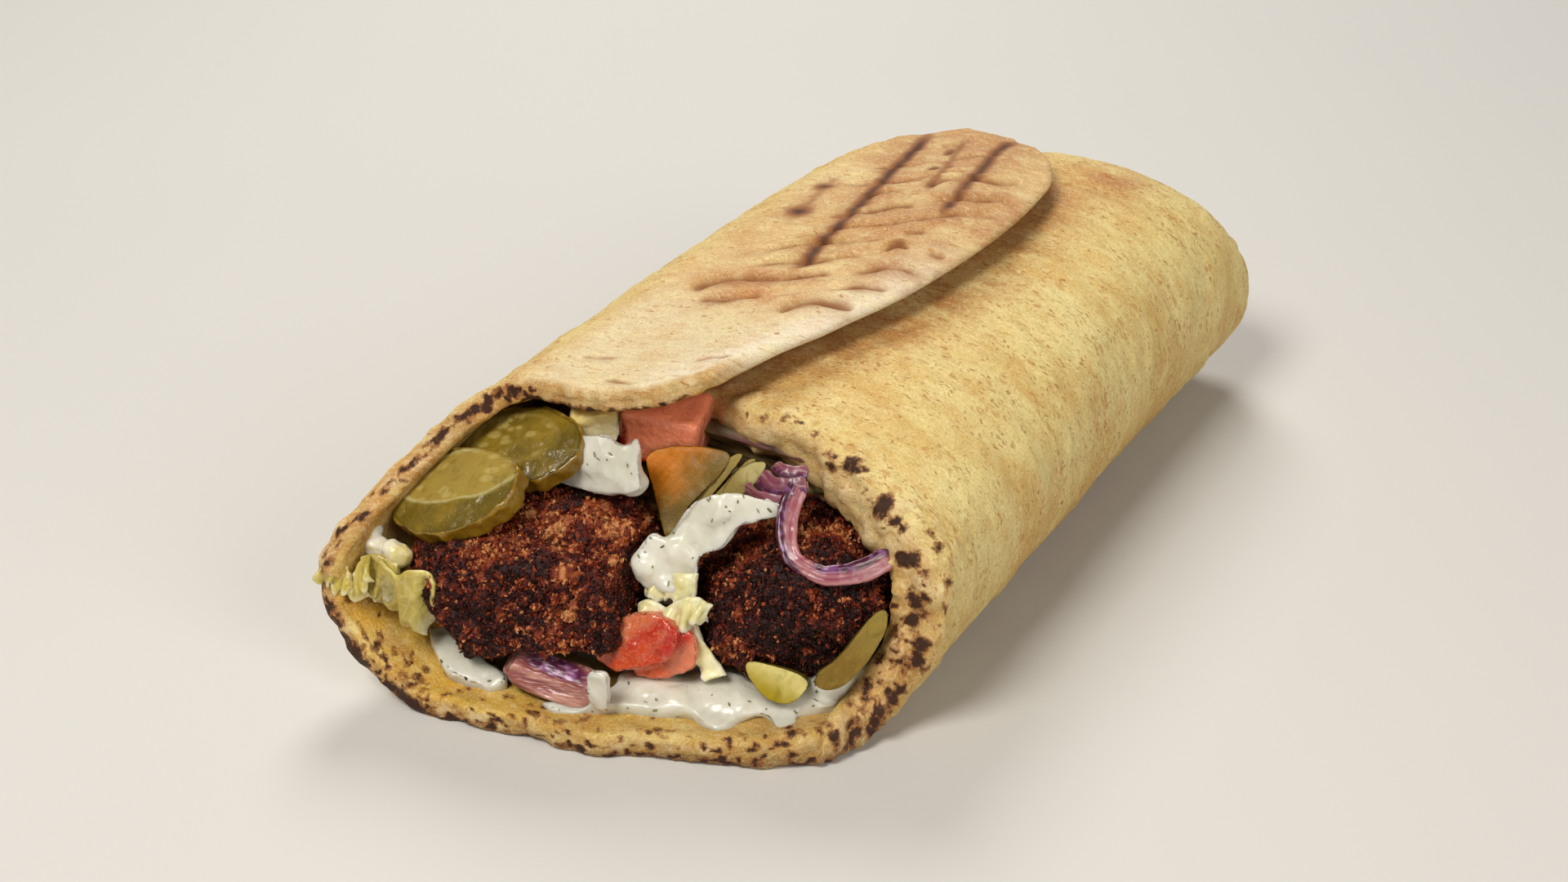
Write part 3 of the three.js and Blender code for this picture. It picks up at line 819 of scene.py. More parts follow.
# Darker spots on those lines, as (x, y, radius, how dark).
GRILL_SPOTS = [
    (-22.6, 17.4, 2.3, 1.0), (-24, 30.6, 1.9, 0.9), (-6.4, 46.1, 1.3, 0.8), (-3.9, 47.5, 1.2, 0.7),
    (-8, 57, 1.3, 0.9), (-2.1, 37.1, 1.5, 0.85), (6, 4.9, 1.5, 0.9), (4.9, 41.5, 1.9, 0.9),
]
FOLD_CREASE = [(-5, -47), (-2.9, -46.2), (8.5, -40.4), (17, -36.2), (26.3, -33.4)]


def line_distance(xy, line):
    """How far points lie to the left of a smooth line, how far along it they are (0 to 1), and how
    far beyond its ends."""
    path = smooth_path([(*p, 0) for p in line], 14)[:, :2]
    best = np.full(len(xy), 1e9)
    left, along, beyond = np.zeros(len(xy)), np.zeros(len(xy)), np.zeros(len(xy))
    steps = len(path) - 1
    for k in range(steps):
        a, d = path[k], path[k + 1] - path[k]
        length = np.linalg.norm(d)
        t = ((xy - a) @ d) / length**2
        inside = np.clip(t, 0, 1)
        gap = xy - a - inside[:, None] * d
        distance = np.linalg.norm(gap, axis=1)
        closer = distance < best
        best = np.where(closer, distance, best)
        left = np.where(closer, (d[0] * gap[:, 1] - d[1] * gap[:, 0]) / length, left)
        along = np.where(closer, (k + inside) / steps, along)
        beyond = np.where(closer, np.abs(t - inside) * length, beyond)
    return left, along, beyond


def flap_marks(xy):
    """Relief in mm, browning and scorching of the flap's creases and grill lines. On the creases these
    marks are partly painted shade.
    """
    relief, brown, scorch = np.zeros(len(xy)), np.zeros(len(xy)), np.zeros(len(xy))
    flat = on_plane(*xy.T)
    wander = 0.6 * rough_noise(flat, 5, SEED + 3, 2)
    for line, depth, width, colour in CREASES:
        left, along, beyond = line_distance(xy, line)
        left, depth, width = left + wander, 2.6 * depth, 1.1 * width
        fade = np.sqrt(np.clip(4 * along * (1 - along), 0, 1)) * bell(beyond, width)
        trough = bell(left, width)
        banks = bell(left - 2 * width, 1.3 * width)
        banks = banks + 0.8 * bell(left + 2.2 * width, 1.5 * width)
        relief += depth * fade * (0.5 * banks - trough)
        # each crease's dark line and the brown beside it are toasting with painted shade of its trough
        line_mark = bell(left - 0.1 * width, 0.72 * width)
        soft = bell(left + 1.4 * width, 1.6 * width)
        worn = 0.85 + 0.4 * soft_noise(flat, 3, SEED + 6)
        mark = (0.38 + 0.6 * colour) * worn * fade * np.maximum(line_mark, 0.36 * soft)
        scorch = np.maximum(scorch, mark)
        shade = bell(left + 1.1 * width, 2 * width)
        brown = np.maximum(brown, np.minimum(1, 1.2 * colour) * fade * shade)
    for a, b, width, dark in GRILL:
        left, along, beyond = line_distance(xy, [a, b])
        patchy = 0.84 + 0.16 * soft_noise(flat, 4, SEED + 5)
        fade = step(np.minimum(along, 1 - along), -0.02, 0.12) * np.exp(-(beyond**2))
        mark = dark * patchy * fade * bell(left, width)
        scorch = np.maximum(scorch, mark)
        relief -= 0.3 * mark
        brown = np.maximum(brown, dark * fade * bell(left, 2.4 * width))
    for x, y, radius, dark in GRILL_SPOTS:
        away = np.hypot(xy[:, 0] - x, (xy[:, 1] - y) / 1.3) / radius
        scorch = np.maximum(scorch, dark * np.exp(-(away**2)))
        brown = np.maximum(brown, 0.9 * dark * bell(away, 2))
    return relief, brown, scorch


# Charred dots on the near rim, as (from, to round the section, mm apart, place through the bread
# from its outer face 0 to its inner face 1, spread of that, radius, how dark).
RIM_DOTS = [
    (0.95, 1.25, 2.2, 0.08, 0.05, 0.7, 0.75),
    (1.2, 1.6, 2.0, 0.1, 0.1, 0.85, 0.85),
    (1.5, 1.9, 1.9, 0.3, 0.22, 0.75, 0.8),
    (1.85, 2.5, 1.3, 0.28, 0.2, 1.05, 0.95),
    (1.95, 2.9, 1.5, 0.55, 0.2, 0.95, 0.85),
    (2.4, 3.2, 1.4, 0.2, 0.15, 1.0, 0.95),
    (3.0, 4.4, 1.25, 0.2, 0.14, 0.85, 0.95),
    (3.1, 4.5, 1.4, 0.5, 0.3, 0.48, 0.8),
    (4.15, 4.95, 2.0, 0.22, 0.16, 1.75, 1.0),
    (4.1, 5.0, 1.2, 0.4, 0.28, 0.55, 0.85),
    (1.9, 2.9, 1.3, 0.45, 0.25, 0.5, 0.8),
    (4.5, 5.1, 2.4, 0.4, 0.25, 0.65, 0.8),
    (5.02, 5.95, 0.95, 0.5, 0.13, 0.74, 0.95),
    (5.85, 6.5, 1.0, 0.88, 0.04, 0.7, 0.9),
    (3.05, 4.4, 1.7, 0.6, 0.2, 0.62, 0.95),
    (3.0, 4.3, 2.1, 0.86, 0.1, 0.5, 0.8),
]
# Larger ones at the rim's top right, as (round the section, place through the bread, radius, dark).
BIG_DOTS = [
    (1.46, 0.12, 1.35, 1.0), (1.3, 0.05, 1.3, 0.8), (1.7, 0.42, 1.2, 0.9), (1.73, 0.3, 1.1, 0.9),
]
# Brown blotches on the inner face near the rim, as (from, to round the section, how many, farthest
# from the rim in mm).
LIP_BLOTCHES = [(2.9, 4.1, 34, 5), (4.1, 4.9, 38, 8), (4.9, 5.6, 10, 4)]


def rim_reach(fullness):
    """How far from its very edge, as a share of the rounding, a rim is that full."""
    return 1 - (1 - fullness**RIM_POWER) ** (1 / RIM_POWER)


def rim_point(around, share, into=0.0):
    """A place near the rim, `share` of the way through the bread and that far into the roll."""
    thick = through(RIM_THICK, around)
    rounding = RIM_ROUND * rim_reach(np.abs(1 - 2 * share)) - RIM_FORWARD
    y = through(NEAR_RIM, around) + thick * rounding + into
    return outside(around, y) + inward(around, y) * (share * thick)[:, None]


def rim_dots():
    """Centres, radii and darkness of the charred dots."""
    random = np.random.default_rng(SEED)
    rows = []
    for start, end, spacing, share, spread, radius, dark in RIM_DOTS:
        ends = rim_point(np.linspace(start, end, 40), np.full(40, 0.3))
        length = np.linalg.norm(np.diff(ends, axis=0), axis=1).sum()
        count = int(length / spacing)
        around = start + (end - start) * (np.arange(count) + random.uniform(0, 1, count)) / count
        places = np.clip(share + spread * random.normal(0, 1, count), 0.01, 0.99)
        sizes = 0.72 * radius * random.uniform(0.4, 1.5, count)
        rows.append(np.column_stack([around, places, sizes, dark * random.uniform(0.7, 1.1, count)]))
    rows = np.concatenate([*rows, np.array(BIG_DOTS)])
    centres, sizes, dark = [rim_point(rows[:, 0], rows[:, 1])], [rows[:, 2]], [rows[:, 3]]
    for start, end, count, reach in LIP_BLOTCHES:
        around, into = random.uniform(start, end, count), reach * random.uniform(0, 1, count) ** 1.4
        centres.append(rim_point(around, np.full(count, 0.98), into))
        sizes.append(random.uniform(0.3, 0.85, count))
        dark.append(random.uniform(0.35, 0.75, count))
    return np.concatenate(centres), np.concatenate(sizes), np.concatenate(dark)


def sheet_columns():
    """Shares of the way round (0 to 1) for the sheet's columns."""
    columns = []
    for part, count in enumerate(SHEET_ACROSS):
        if part < 6:
            columns.append((part + np.arange(count) / count) / 7)
        else:
            rounding = BREAD_THICK / 2 / FLAP_WIDE
            main = np.linspace(0, 1 - rounding, count - EDGE_ROUND + 1)
            last = 1 - rounding * (1 - np.sin(np.arange(1, EDGE_ROUND + 1) / EDGE_ROUND * np.pi / 2))
            columns.append((6 + np.concatenate([main, last])) / 7)
    return np.concatenate(columns)


def rim_steps():
    """Reach of each row of a rim's rounding, evenly spaced round it."""
    full = np.linspace(0, 1, 400)
    reach = rim_reach(full)
    length = np.concatenate([[0], np.cumsum(np.hypot(2 * RIM_ROUND * np.diff(reach), np.diff(full)))])
    return np.interp(np.linspace(0, length[-1], RIM_ROWS + 1)[:-1], length, reach)


def sheet_rows(a):
    """For each column and row: position round, y, the rim's thickness, how full the sheet is (0
    on a rim and 1 away from it) and how far it is from the near rim."""
    b = np.linspace(0, 1, RIM_ROWS + NEAR_ROWS + MIDDLE_ROWS + FAR_ROWS + 1)
    for _ in range(3):  # the flap's edge bends the columns, so their spacing depends on b
        around = a[:, None] * through(FLAP_EDGE, b)
        thick = through(RIM_THICK, around)
        near = through(NEAR_RIM, around) - RIM_FORWARD * thick
        far = np.minimum(END_Y - 0.1, through(FAR_RIM, around) + 0.9)
        rim = RIM_ROUND * thick
        rows = [near + rim * reach for reach in rim_steps()]
        rows += [near + rim + (NEAR_ZONE - rim) * (k / NEAR_ROWS) ** 1.15 for k in range(NEAR_ROWS)]
        shares = np.interp(np.arange(MIDDLE_ROWS) / MIDDLE_ROWS, *MIDDLE_SHARES)
        rows += [mix(near + NEAR_ZONE, far - FAR_ZONE, share) for share in shares]
        arch = np.sin(np.arange(FAR_ROWS + 1) / FAR_ROWS * np.pi / 2)
        rows += [far - FAR_ZONE * (1 - s) for s in arch]
        y = np.stack([row[:, k] for k, row in enumerate(rows)], axis=1)
        b = np.mean((y - near) / (far - near), axis=0)
    outward = 1 - np.clip((y - near) / rim, 0, 1)
    full = (1 - outward**RIM_POWER) ** (1 / RIM_POWER)
    beyond = 1 - np.clip((far - y) / (BREAD_THICK / 2), 0, 1)
    full = np.minimum(full, np.sqrt(1 - beyond**2))
    full[:, 0] = full[:, -1] = 0
    return around, y, thick, full, y - near


def sheet_surface():
    """The sheet as one closed skin. Every value has a row for each vertex, such as its place, its
    place on the unrolled sheet and how deep in the bread it lies (0 on the outer face, 1 inside)."""
    around, y, rim_thick, full, from_rim = sheet_rows(sheet_columns())
    thick = BREAD_THICK + (rim_thick - BREAD_THICK) * bell(from_rim, RIM_REACH)
    skin, square = outside(around, y), inward(around, y)
    from_edge = np.linalg.norm(skin - skin[[-1]], axis=-1)
    slim = thick * (1 - EDGE_SLIMMER * bell(from_edge, 8) * step(y, -60, -30))
    for edge in (0, -1):  # both long edges of the sheet are rounded too
        away = np.linalg.norm(skin - skin[[edge]], axis=-1)
        full = np.minimum(full, np.sqrt(1 - (1 - np.clip(away / (thick / 2), 0, 1)) ** 2))
    columns, rows = around.shape
    arc = np.cumsum(np.linalg.norm(np.diff(skin, axis=0, prepend=skin[:1]), axis=-1), axis=0)

    # The inner face shares the sheet's four edges with the outer one and has fewer rows.
    fine = RIM_ROWS + NEAR_ROWS
    kept = [*range(fine), *range(fine, rows - 1, INSIDE_SKIP), rows - 1]
    outer = np.arange(columns * rows).reshape(columns, rows)
    inner = outer[:, kept].copy()
    new = np.zeros_like(inner, bool)
    new[1:-1, 1:-1] = True
    inner[new] = columns * rows + np.arange(new.sum())

    def both(out_values, in_values):
        """Values of the outer face's vertices, then of the inner face's own."""
        out_rows = out_values.reshape((-1,) + out_values.shape[2:])
        return np.concatenate([out_rows, in_values[:, kept][new]])

    quads = [
        np.stack([outer[:-1, :-1], outer[1:, :-1], outer[1:, 1:], outer[:-1, 1:]], axis=-1),
        np.stack([inner[:-1, :-1], inner[:-1, 1:], inner[1:, 1:], inner[1:, :-1]], axis=-1)[1:-1],
    ]
    faces = {4: [q.reshape(-1, 4) for q in quads]}
    for side, beside, turn in ((0, 1, -1), (columns - 1, columns - 2, 1)):
        for k in range(len(kept) - 1):
            run = outer[side, kept[k] : kept[k + 1] + 1]
            ring = np.concatenate([inner[beside, k : k + 2], run[::-1]])[::turn]
            faces.setdefault(len(ring), []).append(ring[None])
    named = dict(
        around=around, y=y, thick=thick, slim=slim, from_rim=from_rim, arc=arc, skin=skin,
        square=square,
    )
    sheet = SimpleNamespace(**{name: both(values, values) for name, values in named.items()})
    sheet.depth = both((1 - full) / 2, (1 + full) / 2)
    sheet.at = sheet.skin + sheet.square * (sheet.thick - sheet.slim * (1 - sheet.depth))[:, None]
    sheet.unrolled = on_plane(sheet.arc, sheet.y)
    sheet.faces = [np.concatenate(group) for group in faces.values()]
    return sheet


def stirring(noise, p, size, seed):
    """Three noises, as a push in X, Y and Z."""
    return np.stack([noise(p, size, seed + k) for k in range(3)], axis=1)


def ridged(p, size, seed):
    """Noise from -1 to 1 with sharp ridges."""
    return 1 - 2 * np.abs(soft_noise(p, size, seed))


def sheet_zones(sheet):
    """Names the regions of the sheet, each a share from 0 to 1 at every vertex."""
    around, y = sheet.around, sheet.y
    x = sheet.skin[:, 0]
    flap_x = outside(6 + np.clip(through(FLAP_EDGE, (y + 56) / 128.5) - 6, 0, 1), y)[:, 0]
    zone = SimpleNamespace()
    zone.outer = step(sheet.depth, 0.6, 0.3)
    zone.rim = bell(sheet.from_rim, 7)
    zone.face = zone.rim * step(sheet.depth, 0.02, 0.2) * step(sheet.depth, 1.0, 0.8)
    zone.right = step(around, 0.3, 1.0) * step(around, 3.3, 2.8)
    zone.left = step(around, 4.3, 4.8) * step(around, 6.1, 5.9)
    zone.flap = step(around, 5.7, 6.02)
    zone.front = zone.flap * step(y + 0.35 * x, -22, -46)
    zone.free = step(sheet.skin[:, 2], 2.0, 14)  # clear of the table
    # beside the flap's edge on the right fold: toasting under the flap's painted shadow
    zone.fold = (around < 2) * step(y, -52, -42) * step(y, 84, 70)
    zone.fold = zone.fold * bell(np.maximum(0, x - flap_x), 8) * zone.outer
    zone.flap_edge = zone.flap * bell(x - flap_x + 2, 6)
    return zone


def sheet_relief(sheet, zone):
    """How far each vertex of the sheet moves out along its normal, in mm, with its browning and
    scorching, partly painted shade in creases and hollows, and where it is puffed, for a painted
    highlight."""
    at, unrolled = sheet.at, sheet.unrolled
    ripple = rough_noise(unrolled * [0.5, 1, 1], 2.1, SEED + 9, 3)
    folds = rough_noise(unrolled * [0.35, 1, 1], 7, SEED + 15, 2)
    relief = zone.outer * (0.3 + 0.7 * zone.free) * (0.2 * ripple + 0.26 * folds)

    wavy = unrolled @ np.array([[0.86, -0.5, 0], [0.5, 0.86, 0], [0, 0, 1]]) * [0.3, 1, 1]
    crinkle = ridged(wavy, 4.2, SEED + 17) + 0.5 * ridged(wavy, 2.2, SEED + 18)
    middle = zone.flap * (1 - zone.front) * zone.outer
    relief += 0.16 * crinkle * middle
    fields = np.zeros((2, len(at)))
    on_flap = np.flatnonzero((sheet.around > 5.7) & (sheet.depth < 0.4))
    marks, brown, scorch = flap_marks(sheet.skin[on_flap][:, :2])
    relief[on_flap] += marks * zone.flap[on_flap]
    fields[:, on_flap] = np.array([brown, scorch]) * zone.flap[on_flap]
    fields[0] += 0.25 * middle * step(crinkle, 0.1, -0.9)

    left, along, beyond = line_distance(at[:, :2], FOLD_CREASE)
    crease = np.exp(-((left / 0.8) ** 2) - beyond**2) * (1 - along) * (sheet.around < 1.6) * zone.outer
    relief -= 0.6 * crease
    # the crease's browning is painted shade in its trough
    fields[0] += 0.8 * crease

    # The rim is puffed into blisters, and gathered into pleats on the right.
    first, _, tone = grains(at, 3.6, SEED + 21)
    blister = dome(first, 0.75) * (0.4 + tone)
    first, _, tone = grains(at, 1.8, SEED + 22)
    blister += 0.45 * dome(first, 0.7) * (0.2 + tone)
    pleats = ridged(on_plane(sheet.arc, 3 * sheet.depth), 3.1, SEED + 23)
    strong = 0.35 + 0.65 * zone.right
    puffed = zone.rim * step(sheet.depth, 1, 0.85)
    relief += puffed * strong * (0.9 * blister + 0.3 * pleats)
    relief += 0.35 * zone.rim * rough_noise(at, 3, SEED + 25, 2)
    # painted shade browns the hollows between the blisters and pleats
    fields[0] += 0.7 * zone.face * step(blister + 0.4 * pleats, 0.35, -0.2)
    return relief, fields[0], fields[1], puffed * step(blister, 0.55, 1.2)


# Colours of the near rim's face and of the inside behind it, at positions round the section.
RIM_TONES = [
    (0, rgb(200, 146, 78)), (0.9, rgb(212, 168, 102)), (1.4, rgb(220, 186, 130)),
    (2, rgb(210, 168, 106)), (2.6, rgb(196, 148, 80)), (3.0, rgb(184, 140, 70)),
    (3.5, rgb(182, 136, 58)), (4.3, rgb(188, 140, 64)), (4.9, rgb(180, 128, 68)),
    (5.6, rgb(190, 138, 74)), (6, rgb(190, 138, 62)), (6.3, rgb(194, 136, 54)),
    (6.6, rgb(204, 150, 66)), (7, rgb(224, 188, 120)),
]
INSIDE_TONES = [
    (0, rgb(196, 140, 68)), (2, rgb(200, 152, 78)), (3.2, rgb(198, 160, 78)), (4, rgb(206, 166, 58)),
    (4.6, rgb(202, 158, 52)), (5.4, rgb(170, 118, 46)), (7, rgb(196, 144, 78)),
]


def tones(table, at):
    """Colours at positions between those of a table."""
    keys = [key for key, _ in table]
    return np.stack([np.interp(at, keys, [tone[k] for _, tone in table]) for k in range(3)], axis=-1)


def sheet_paint(sheet, zone, brown, puffed):
    """Broad colours of the sheet."""
    at, unrolled = sheet.at, sheet.unrolled
    broad = rough_noise(at, 30, SEED + 31, 2)
    patch = rough_noise(unrolled * [0.5, 1, 1], 13, SEED + 33, 3)
    small = rough_noise(unrolled * [0.6, 1, 1], 5, SEED + 36, 3)
    paint = np.tile(rgb(224, 198, 124), (len(at), 1))

    def tint(colour, share):
        paint[:] = tinted(paint, colour, np.clip(share, 0, 1))

    tint(rgb(236, 218, 150), 0.5 + 0.7 * patch)
    tint(rgb(212, 168, 88), 0.55 * step(patch + 0.5 * small, 0.1, -0.8))
    # painted shadow of the flap over toasting, in a band beside its edge
    tint(rgb(184, 128, 68), 0.9 * zone.fold * (0.9 + 0.5 * small))
    x, y = sheet.skin[:, 0], sheet.y
    scorched = np.exp(-(((x - 23) / 9) ** 2) - ((y - 70) / 10) ** 2) * (sheet.around < 2)
    tint(rgb(170, 90, 44), 0.85 * scorched * (0.8 + 0.6 * small))
    tint(rgb(202, 154, 82), 0.6 * zone.left * (0.7 + 0.5 * broad))

    flap = np.array(paint)
    paint[:] = np.tile(rgb(214, 176, 120), (len(at), 1))
    tint(rgb(230, 204, 152), 0.3 + 0.7 * patch)
    tint(rgb(188, 130, 84), 0.85 * step(broad + 0.3 * small, -0.35, 0.35) * (1 - zone.front))
    rosy = np.exp(-(((x + 12) / 12) ** 2) - ((y + 20) / 10) ** 2)
    tint(rgb(190, 110, 60), 0.85 * rosy * (0.85 + 0.5 * small))
    tint(rgb(226, 210, 172), 0.85 * zone.front)
    tint(rgb(246, 238, 220), 0.75 * zone.flap_edge * step(y, 20, -20))
    # on the flap this browning is toasting, partly painted shade below the creases
    tint(rgb(164, 108, 68), 0.65 * np.clip(brown, 0, 1))
    paint[:] = tinted(flap, paint, zone.flap)
    # off the flap this browning is painted shade in the fold's crease and between the rim's blisters
    tint(rgb(186, 120, 54), 0.7 * brown * (1 - zone.flap))

    face = tones(RIM_TONES, sheet.around) * (1 + 0.12 * small[:, None])
    tint(face, 0.85 * zone.rim * step(sheet.depth, 0.0, 0.16))
    # painted highlight on the tops of the rim's blisters
    tint(rgb(236, 212, 168), 0.55 * puffed)
    oily = step(rough_noise(at, 4, SEED + 38, 2), 0.1, 0.8) * zone.right
    tint(rgb(214, 160, 62), 0.7 * oily * zone.face * step(sheet.depth, 0.35, 0.7))
    inside = tones(INSIDE_TONES, sheet.around)
    inside = tinted(inside, rgb(164, 108, 44), 0.5 * step(small, 0.2, 0.8))
    inside = tinted(inside, rgb(230, 200, 112), 0.5 * step(small, -0.1, -0.8))
    golden = step(rough_noise(at, 8, SEED + 39, 2), -0.1, 0.5) * step(sheet.around, 3.6, 4.1)
    inside = tinted(inside, rgb(222, 168, 36), 0.7 * golden)
    tint(inside, step(sheet.depth, 0.7, 0.95))
    # painted shade on the rim's low outer part by the table, with browning
    under = step(sheet.skin[:, 2], 6, 0.5) * step(sheet.depth, 0.62, 0.15) * zone.rim
    tint(rgb(128, 82, 28), 0.85 * under)
    # painted shade: the outer face of the right side darkens toward the table
    low = step(sheet.skin[:, 2], 38, 6) * zone.outer * (sheet.around < 3.4)
    paint[:] = paint * tinted(np.ones(3), np.array([0.68, 0.57, 0.36]), low)
    return np.clip(paint, 0, 1)


BURNT_REACH = 14  # mm from the rim, beyond all of its charred dots


def make_sheet(look):
    sheet = sheet_surface()
    zone = sheet_zones(sheet)
    relief, brown, scorch, puffed = sheet_relief(sheet, zone)
    sway = 0.75 * soft_noise(sheet.skin, 26, SEED) + 0.3 * soft_noise(sheet.skin, 11, SEED + 1)
    points = sheet.at - sheet.square * (sway * zone.free)[:, None]
    points = pushed(points, sheet.faces, relief)
    nibbled = rough_noise(on_plane(sheet.arc, 0 * sheet.y), 7, SEED + 27, 3)
    points[:, 1] -= 0.7 * nibbled * bell(sheet.from_rim, 6)
    points[:, 2] = np.maximum(points[:, 2], 0)

    centres, radii, dark = rim_dots()
    close = np.flatnonzero(sheet.from_rim < BURNT_REACH)
    burn, bent = np.zeros(len(points)), sheet.at[close]
    bent = bent + 0.55 * stirring(rough_noise, bent, 1.8, SEED + 51)
    for centre, radius, strength in zip(centres, radii, dark):
        gap = ((bent - centre) ** 2).sum(axis=1)
        spot = strength * np.clip(1 - gap / (1.8 * radius) ** 2, 0, 1)
        burn[close] = np.maximum(burn[close], spot)

    speck = 0.42 + 0.25 * step(sheet.around, 0.5, 1.4) + 0.4 * zone.fold
    speck = speck * mix(1, 0.4, zone.flap) * zone.outer + 0.12
    oil = 0.5 * zone.face * zone.right + 0.75 * step(sheet.depth, 0.75, 1)
    piece(
        "bread_sheet", points, sheet.faces, "bread", look, ("bread",),
        paint=sheet_paint(sheet, zone, brown, puffed), scorch=scorch, burn=burn, speck=speck, oil=oil,
        flat=on_plane(sheet.arc, sheet.y - sheet.thick * sheet.depth),
    )


TUCK_RINGS = 60
TUCK_AROUND = 168
TUCK_MIDDLE = (0, 60, END_MIDDLE_Z)
TUCK_RADIUS = 34  # mm, for lengths round it
# Pleats of the tucked end, as (angle in degrees, width in degrees, height in mm, slant).
PLEATS = [
    (14, 9, 1.3, 12), (52, 12, 1.6, -10), (96, 8, 1.2, 14), (128, 12, 1.7, 8), (166, 10, 1.4, -12),
    (200, 11, 1.0, 8), (338, 10, 1.0, -8), (72, 6, 0.9, -6), (110, 6, 0.8, 6),
]


def bag_rings(depth, rings, around, from_y):
    """Rings of the closed bag that fills the roll from from_y to the tucked end."""
    into = np.arange(rings + 1) / rings
    y = mix(from_y, END_Y - depth + TUCK_DEPTH - 0.5, np.sin(into * np.pi / 2))
    stretched = y + depth - TUCK_DEPTH
    r = {name: through(table, y) for name, table in ROLL.items()}
    inset = END_CORNER * (1 - round_off(stretched, END_CORNER))
    above = (r["top_right"] - depth - END_MIDDLE_Z) * round_off(stretched, END_ABOVE)
    below = (END_MIDDLE_Z - max(0, depth - TUCK_DEPTH)) * round_off(stretched, END_BELOW)
    angle = np.arange(around) / around * 2 * np.pi
    c, s = np.cos(angle)[None], np.sin(angle)[None]
    side = np.where(c > 0, r["wall_right"][:, None], r["wall_left"][:, None]) - depth - inset[:, None]
    x = swell(c, END_FULLNESS) * side
    z = END_MIDDLE_Z + swell(s, END_FULLNESS) * np.where(s > 0, above[:, None], below[:, None])
    return np.stack([x, np.broadcast_to(y[:, None], x.shape), z], axis=-1), angle


def make_tucked_end(look):
    """The bread's far end, a pleated bag with a lining."""
    rings, angle = bag_rings(TUCK_DEPTH, TUCK_RINGS, TUCK_AROUND, TUCK_FROM_Y)
    count = TUCK_RINGS + 1
    faces = grid_faces(count, TUCK_AROUND, wrap=True)[:, ::-1]
    points = rings.reshape(-1, 3)
    out = normals(points, faces)
    if (out * (points - TUCK_MIDDLE)).sum() < 0:
        out, faces = -out, faces[:, ::-1]
    y = points[:, 1]
    theta = np.degrees(np.tile(angle, count))
    height, hollow = np.zeros(len(points)), np.zeros(len(points))
    grow = step(y, 66, 97)
    for at, width, tall, slant in PLEATS:
        away = (theta - at - slant * (y - 80) / 19 + 180) % 360 - 180
        height += tall * grow * bell(away, width)
        hollow = np.maximum(hollow, grow * bell(away - 1.5 * width, 0.5 * width))
    height -= 0.9 * hollow
    height += 0.7 * rough_noise(points, 13, SEED + 41, 3) + 0.25 * rough_noise(points, 3, SEED + 44, 2)
    height *= step(points[:, 2], 1.5, 12)
    x, _, z = points.T
    covered = step(y, 84, 70) * np.maximum(step(x, -20, -8), step(z, 18, 10))  # by the sheet
    height -= 2 * covered
    points = points + out * height[:, None]
    points[:, 2] = np.maximum(points[:, 2], 0.05)
    lining, _ = bag_rings(TUCK_DEPTH + BREAD_THICK, TUCK_RINGS, TUCK_AROUND, TUCK_FROM_Y)
    skins = [points, lining.reshape(-1, 3)]
    base = len(points)
    rim, last = np.arange(TUCK_AROUND), np.arange(base - TUCK_AROUND, base)
    after = np.roll(rim, -1)
    joined = np.stack([rim, after, base + after, base + rim], axis=1)
    tips = np.concatenate([fan(last, 2 * base), fan(base + last, 2 * base + 1)])
    ends = [skin[last].mean(axis=0)[None] for skin in skins]
    everything = np.concatenate(skins + ends)
    all_faces = [np.concatenate([faces, faces[:, ::-1] + base, joined]), tips]
    arc = np.concatenate([np.tile(angle * TUCK_RADIUS, count)] * 2 + [[0, 0]])
    patch = rough_noise(everything, 16, SEED + 47, 3)
    hollow = np.concatenate([hollow, np.zeros(base + 2)])
    paint = tinted(rgb(222, 192, 120), rgb(236, 214, 148), np.clip(0.5 + 0.6 * patch, 0, 1))
    paint = tinted(paint, rgb(206, 160, 92), np.clip(0.9 * step(patch, 0.0, -0.8), 0, 1))
    # painted shade in the hollows beside the pleats
    paint = tinted(paint, rgb(176, 118, 62), 0.7 * hollow)
    face_outward(piece(
        "bread_tucked_end", everything, all_faces, "bread", look,
        paint=paint, burn=0 * arc, speck=0.22 + 0 * arc, oil=0 * arc,
        flat=on_plane(arc, everything[:, 1]),
    ))


# ---- falafel -------------------------------------------------------------------------------------

FALAFELS = {
    "falafel_left": dict(
        at=(-22.6, -75, 19.2), size=(43, 39, 28.4), power=(2.7, 2.5), turn=(4, -3, 10),
        cuts=[
            ((0.12, -0.1, 1), 12.2), ((1, 0, 0.1), 18.9), ((-0.8, -0.5, -0.55), 17.4),
            ((0.2, -1, 0.35), 16.6), ((0.2, -0.7, -1), 14.2),
        ],
    ),
    "falafel_right": dict(
        at=(20, -56.4, 18.8), size=(37.5, 37.6, 28), power=(2.4, 2.4), turn=(-3, 4, 50),
        cuts=[
            ((-0.6, 0.3, 1), 12.6), ((-1, 0.2, 0.1), 17), ((0.6, -0.4, 0.8), 15.2),
            ((-0.3, -1, -0.4), 16), ((0.6, -0.6, -0.5), 13.6),
        ],
    ),
}
CRUMBS_EACH = 8500


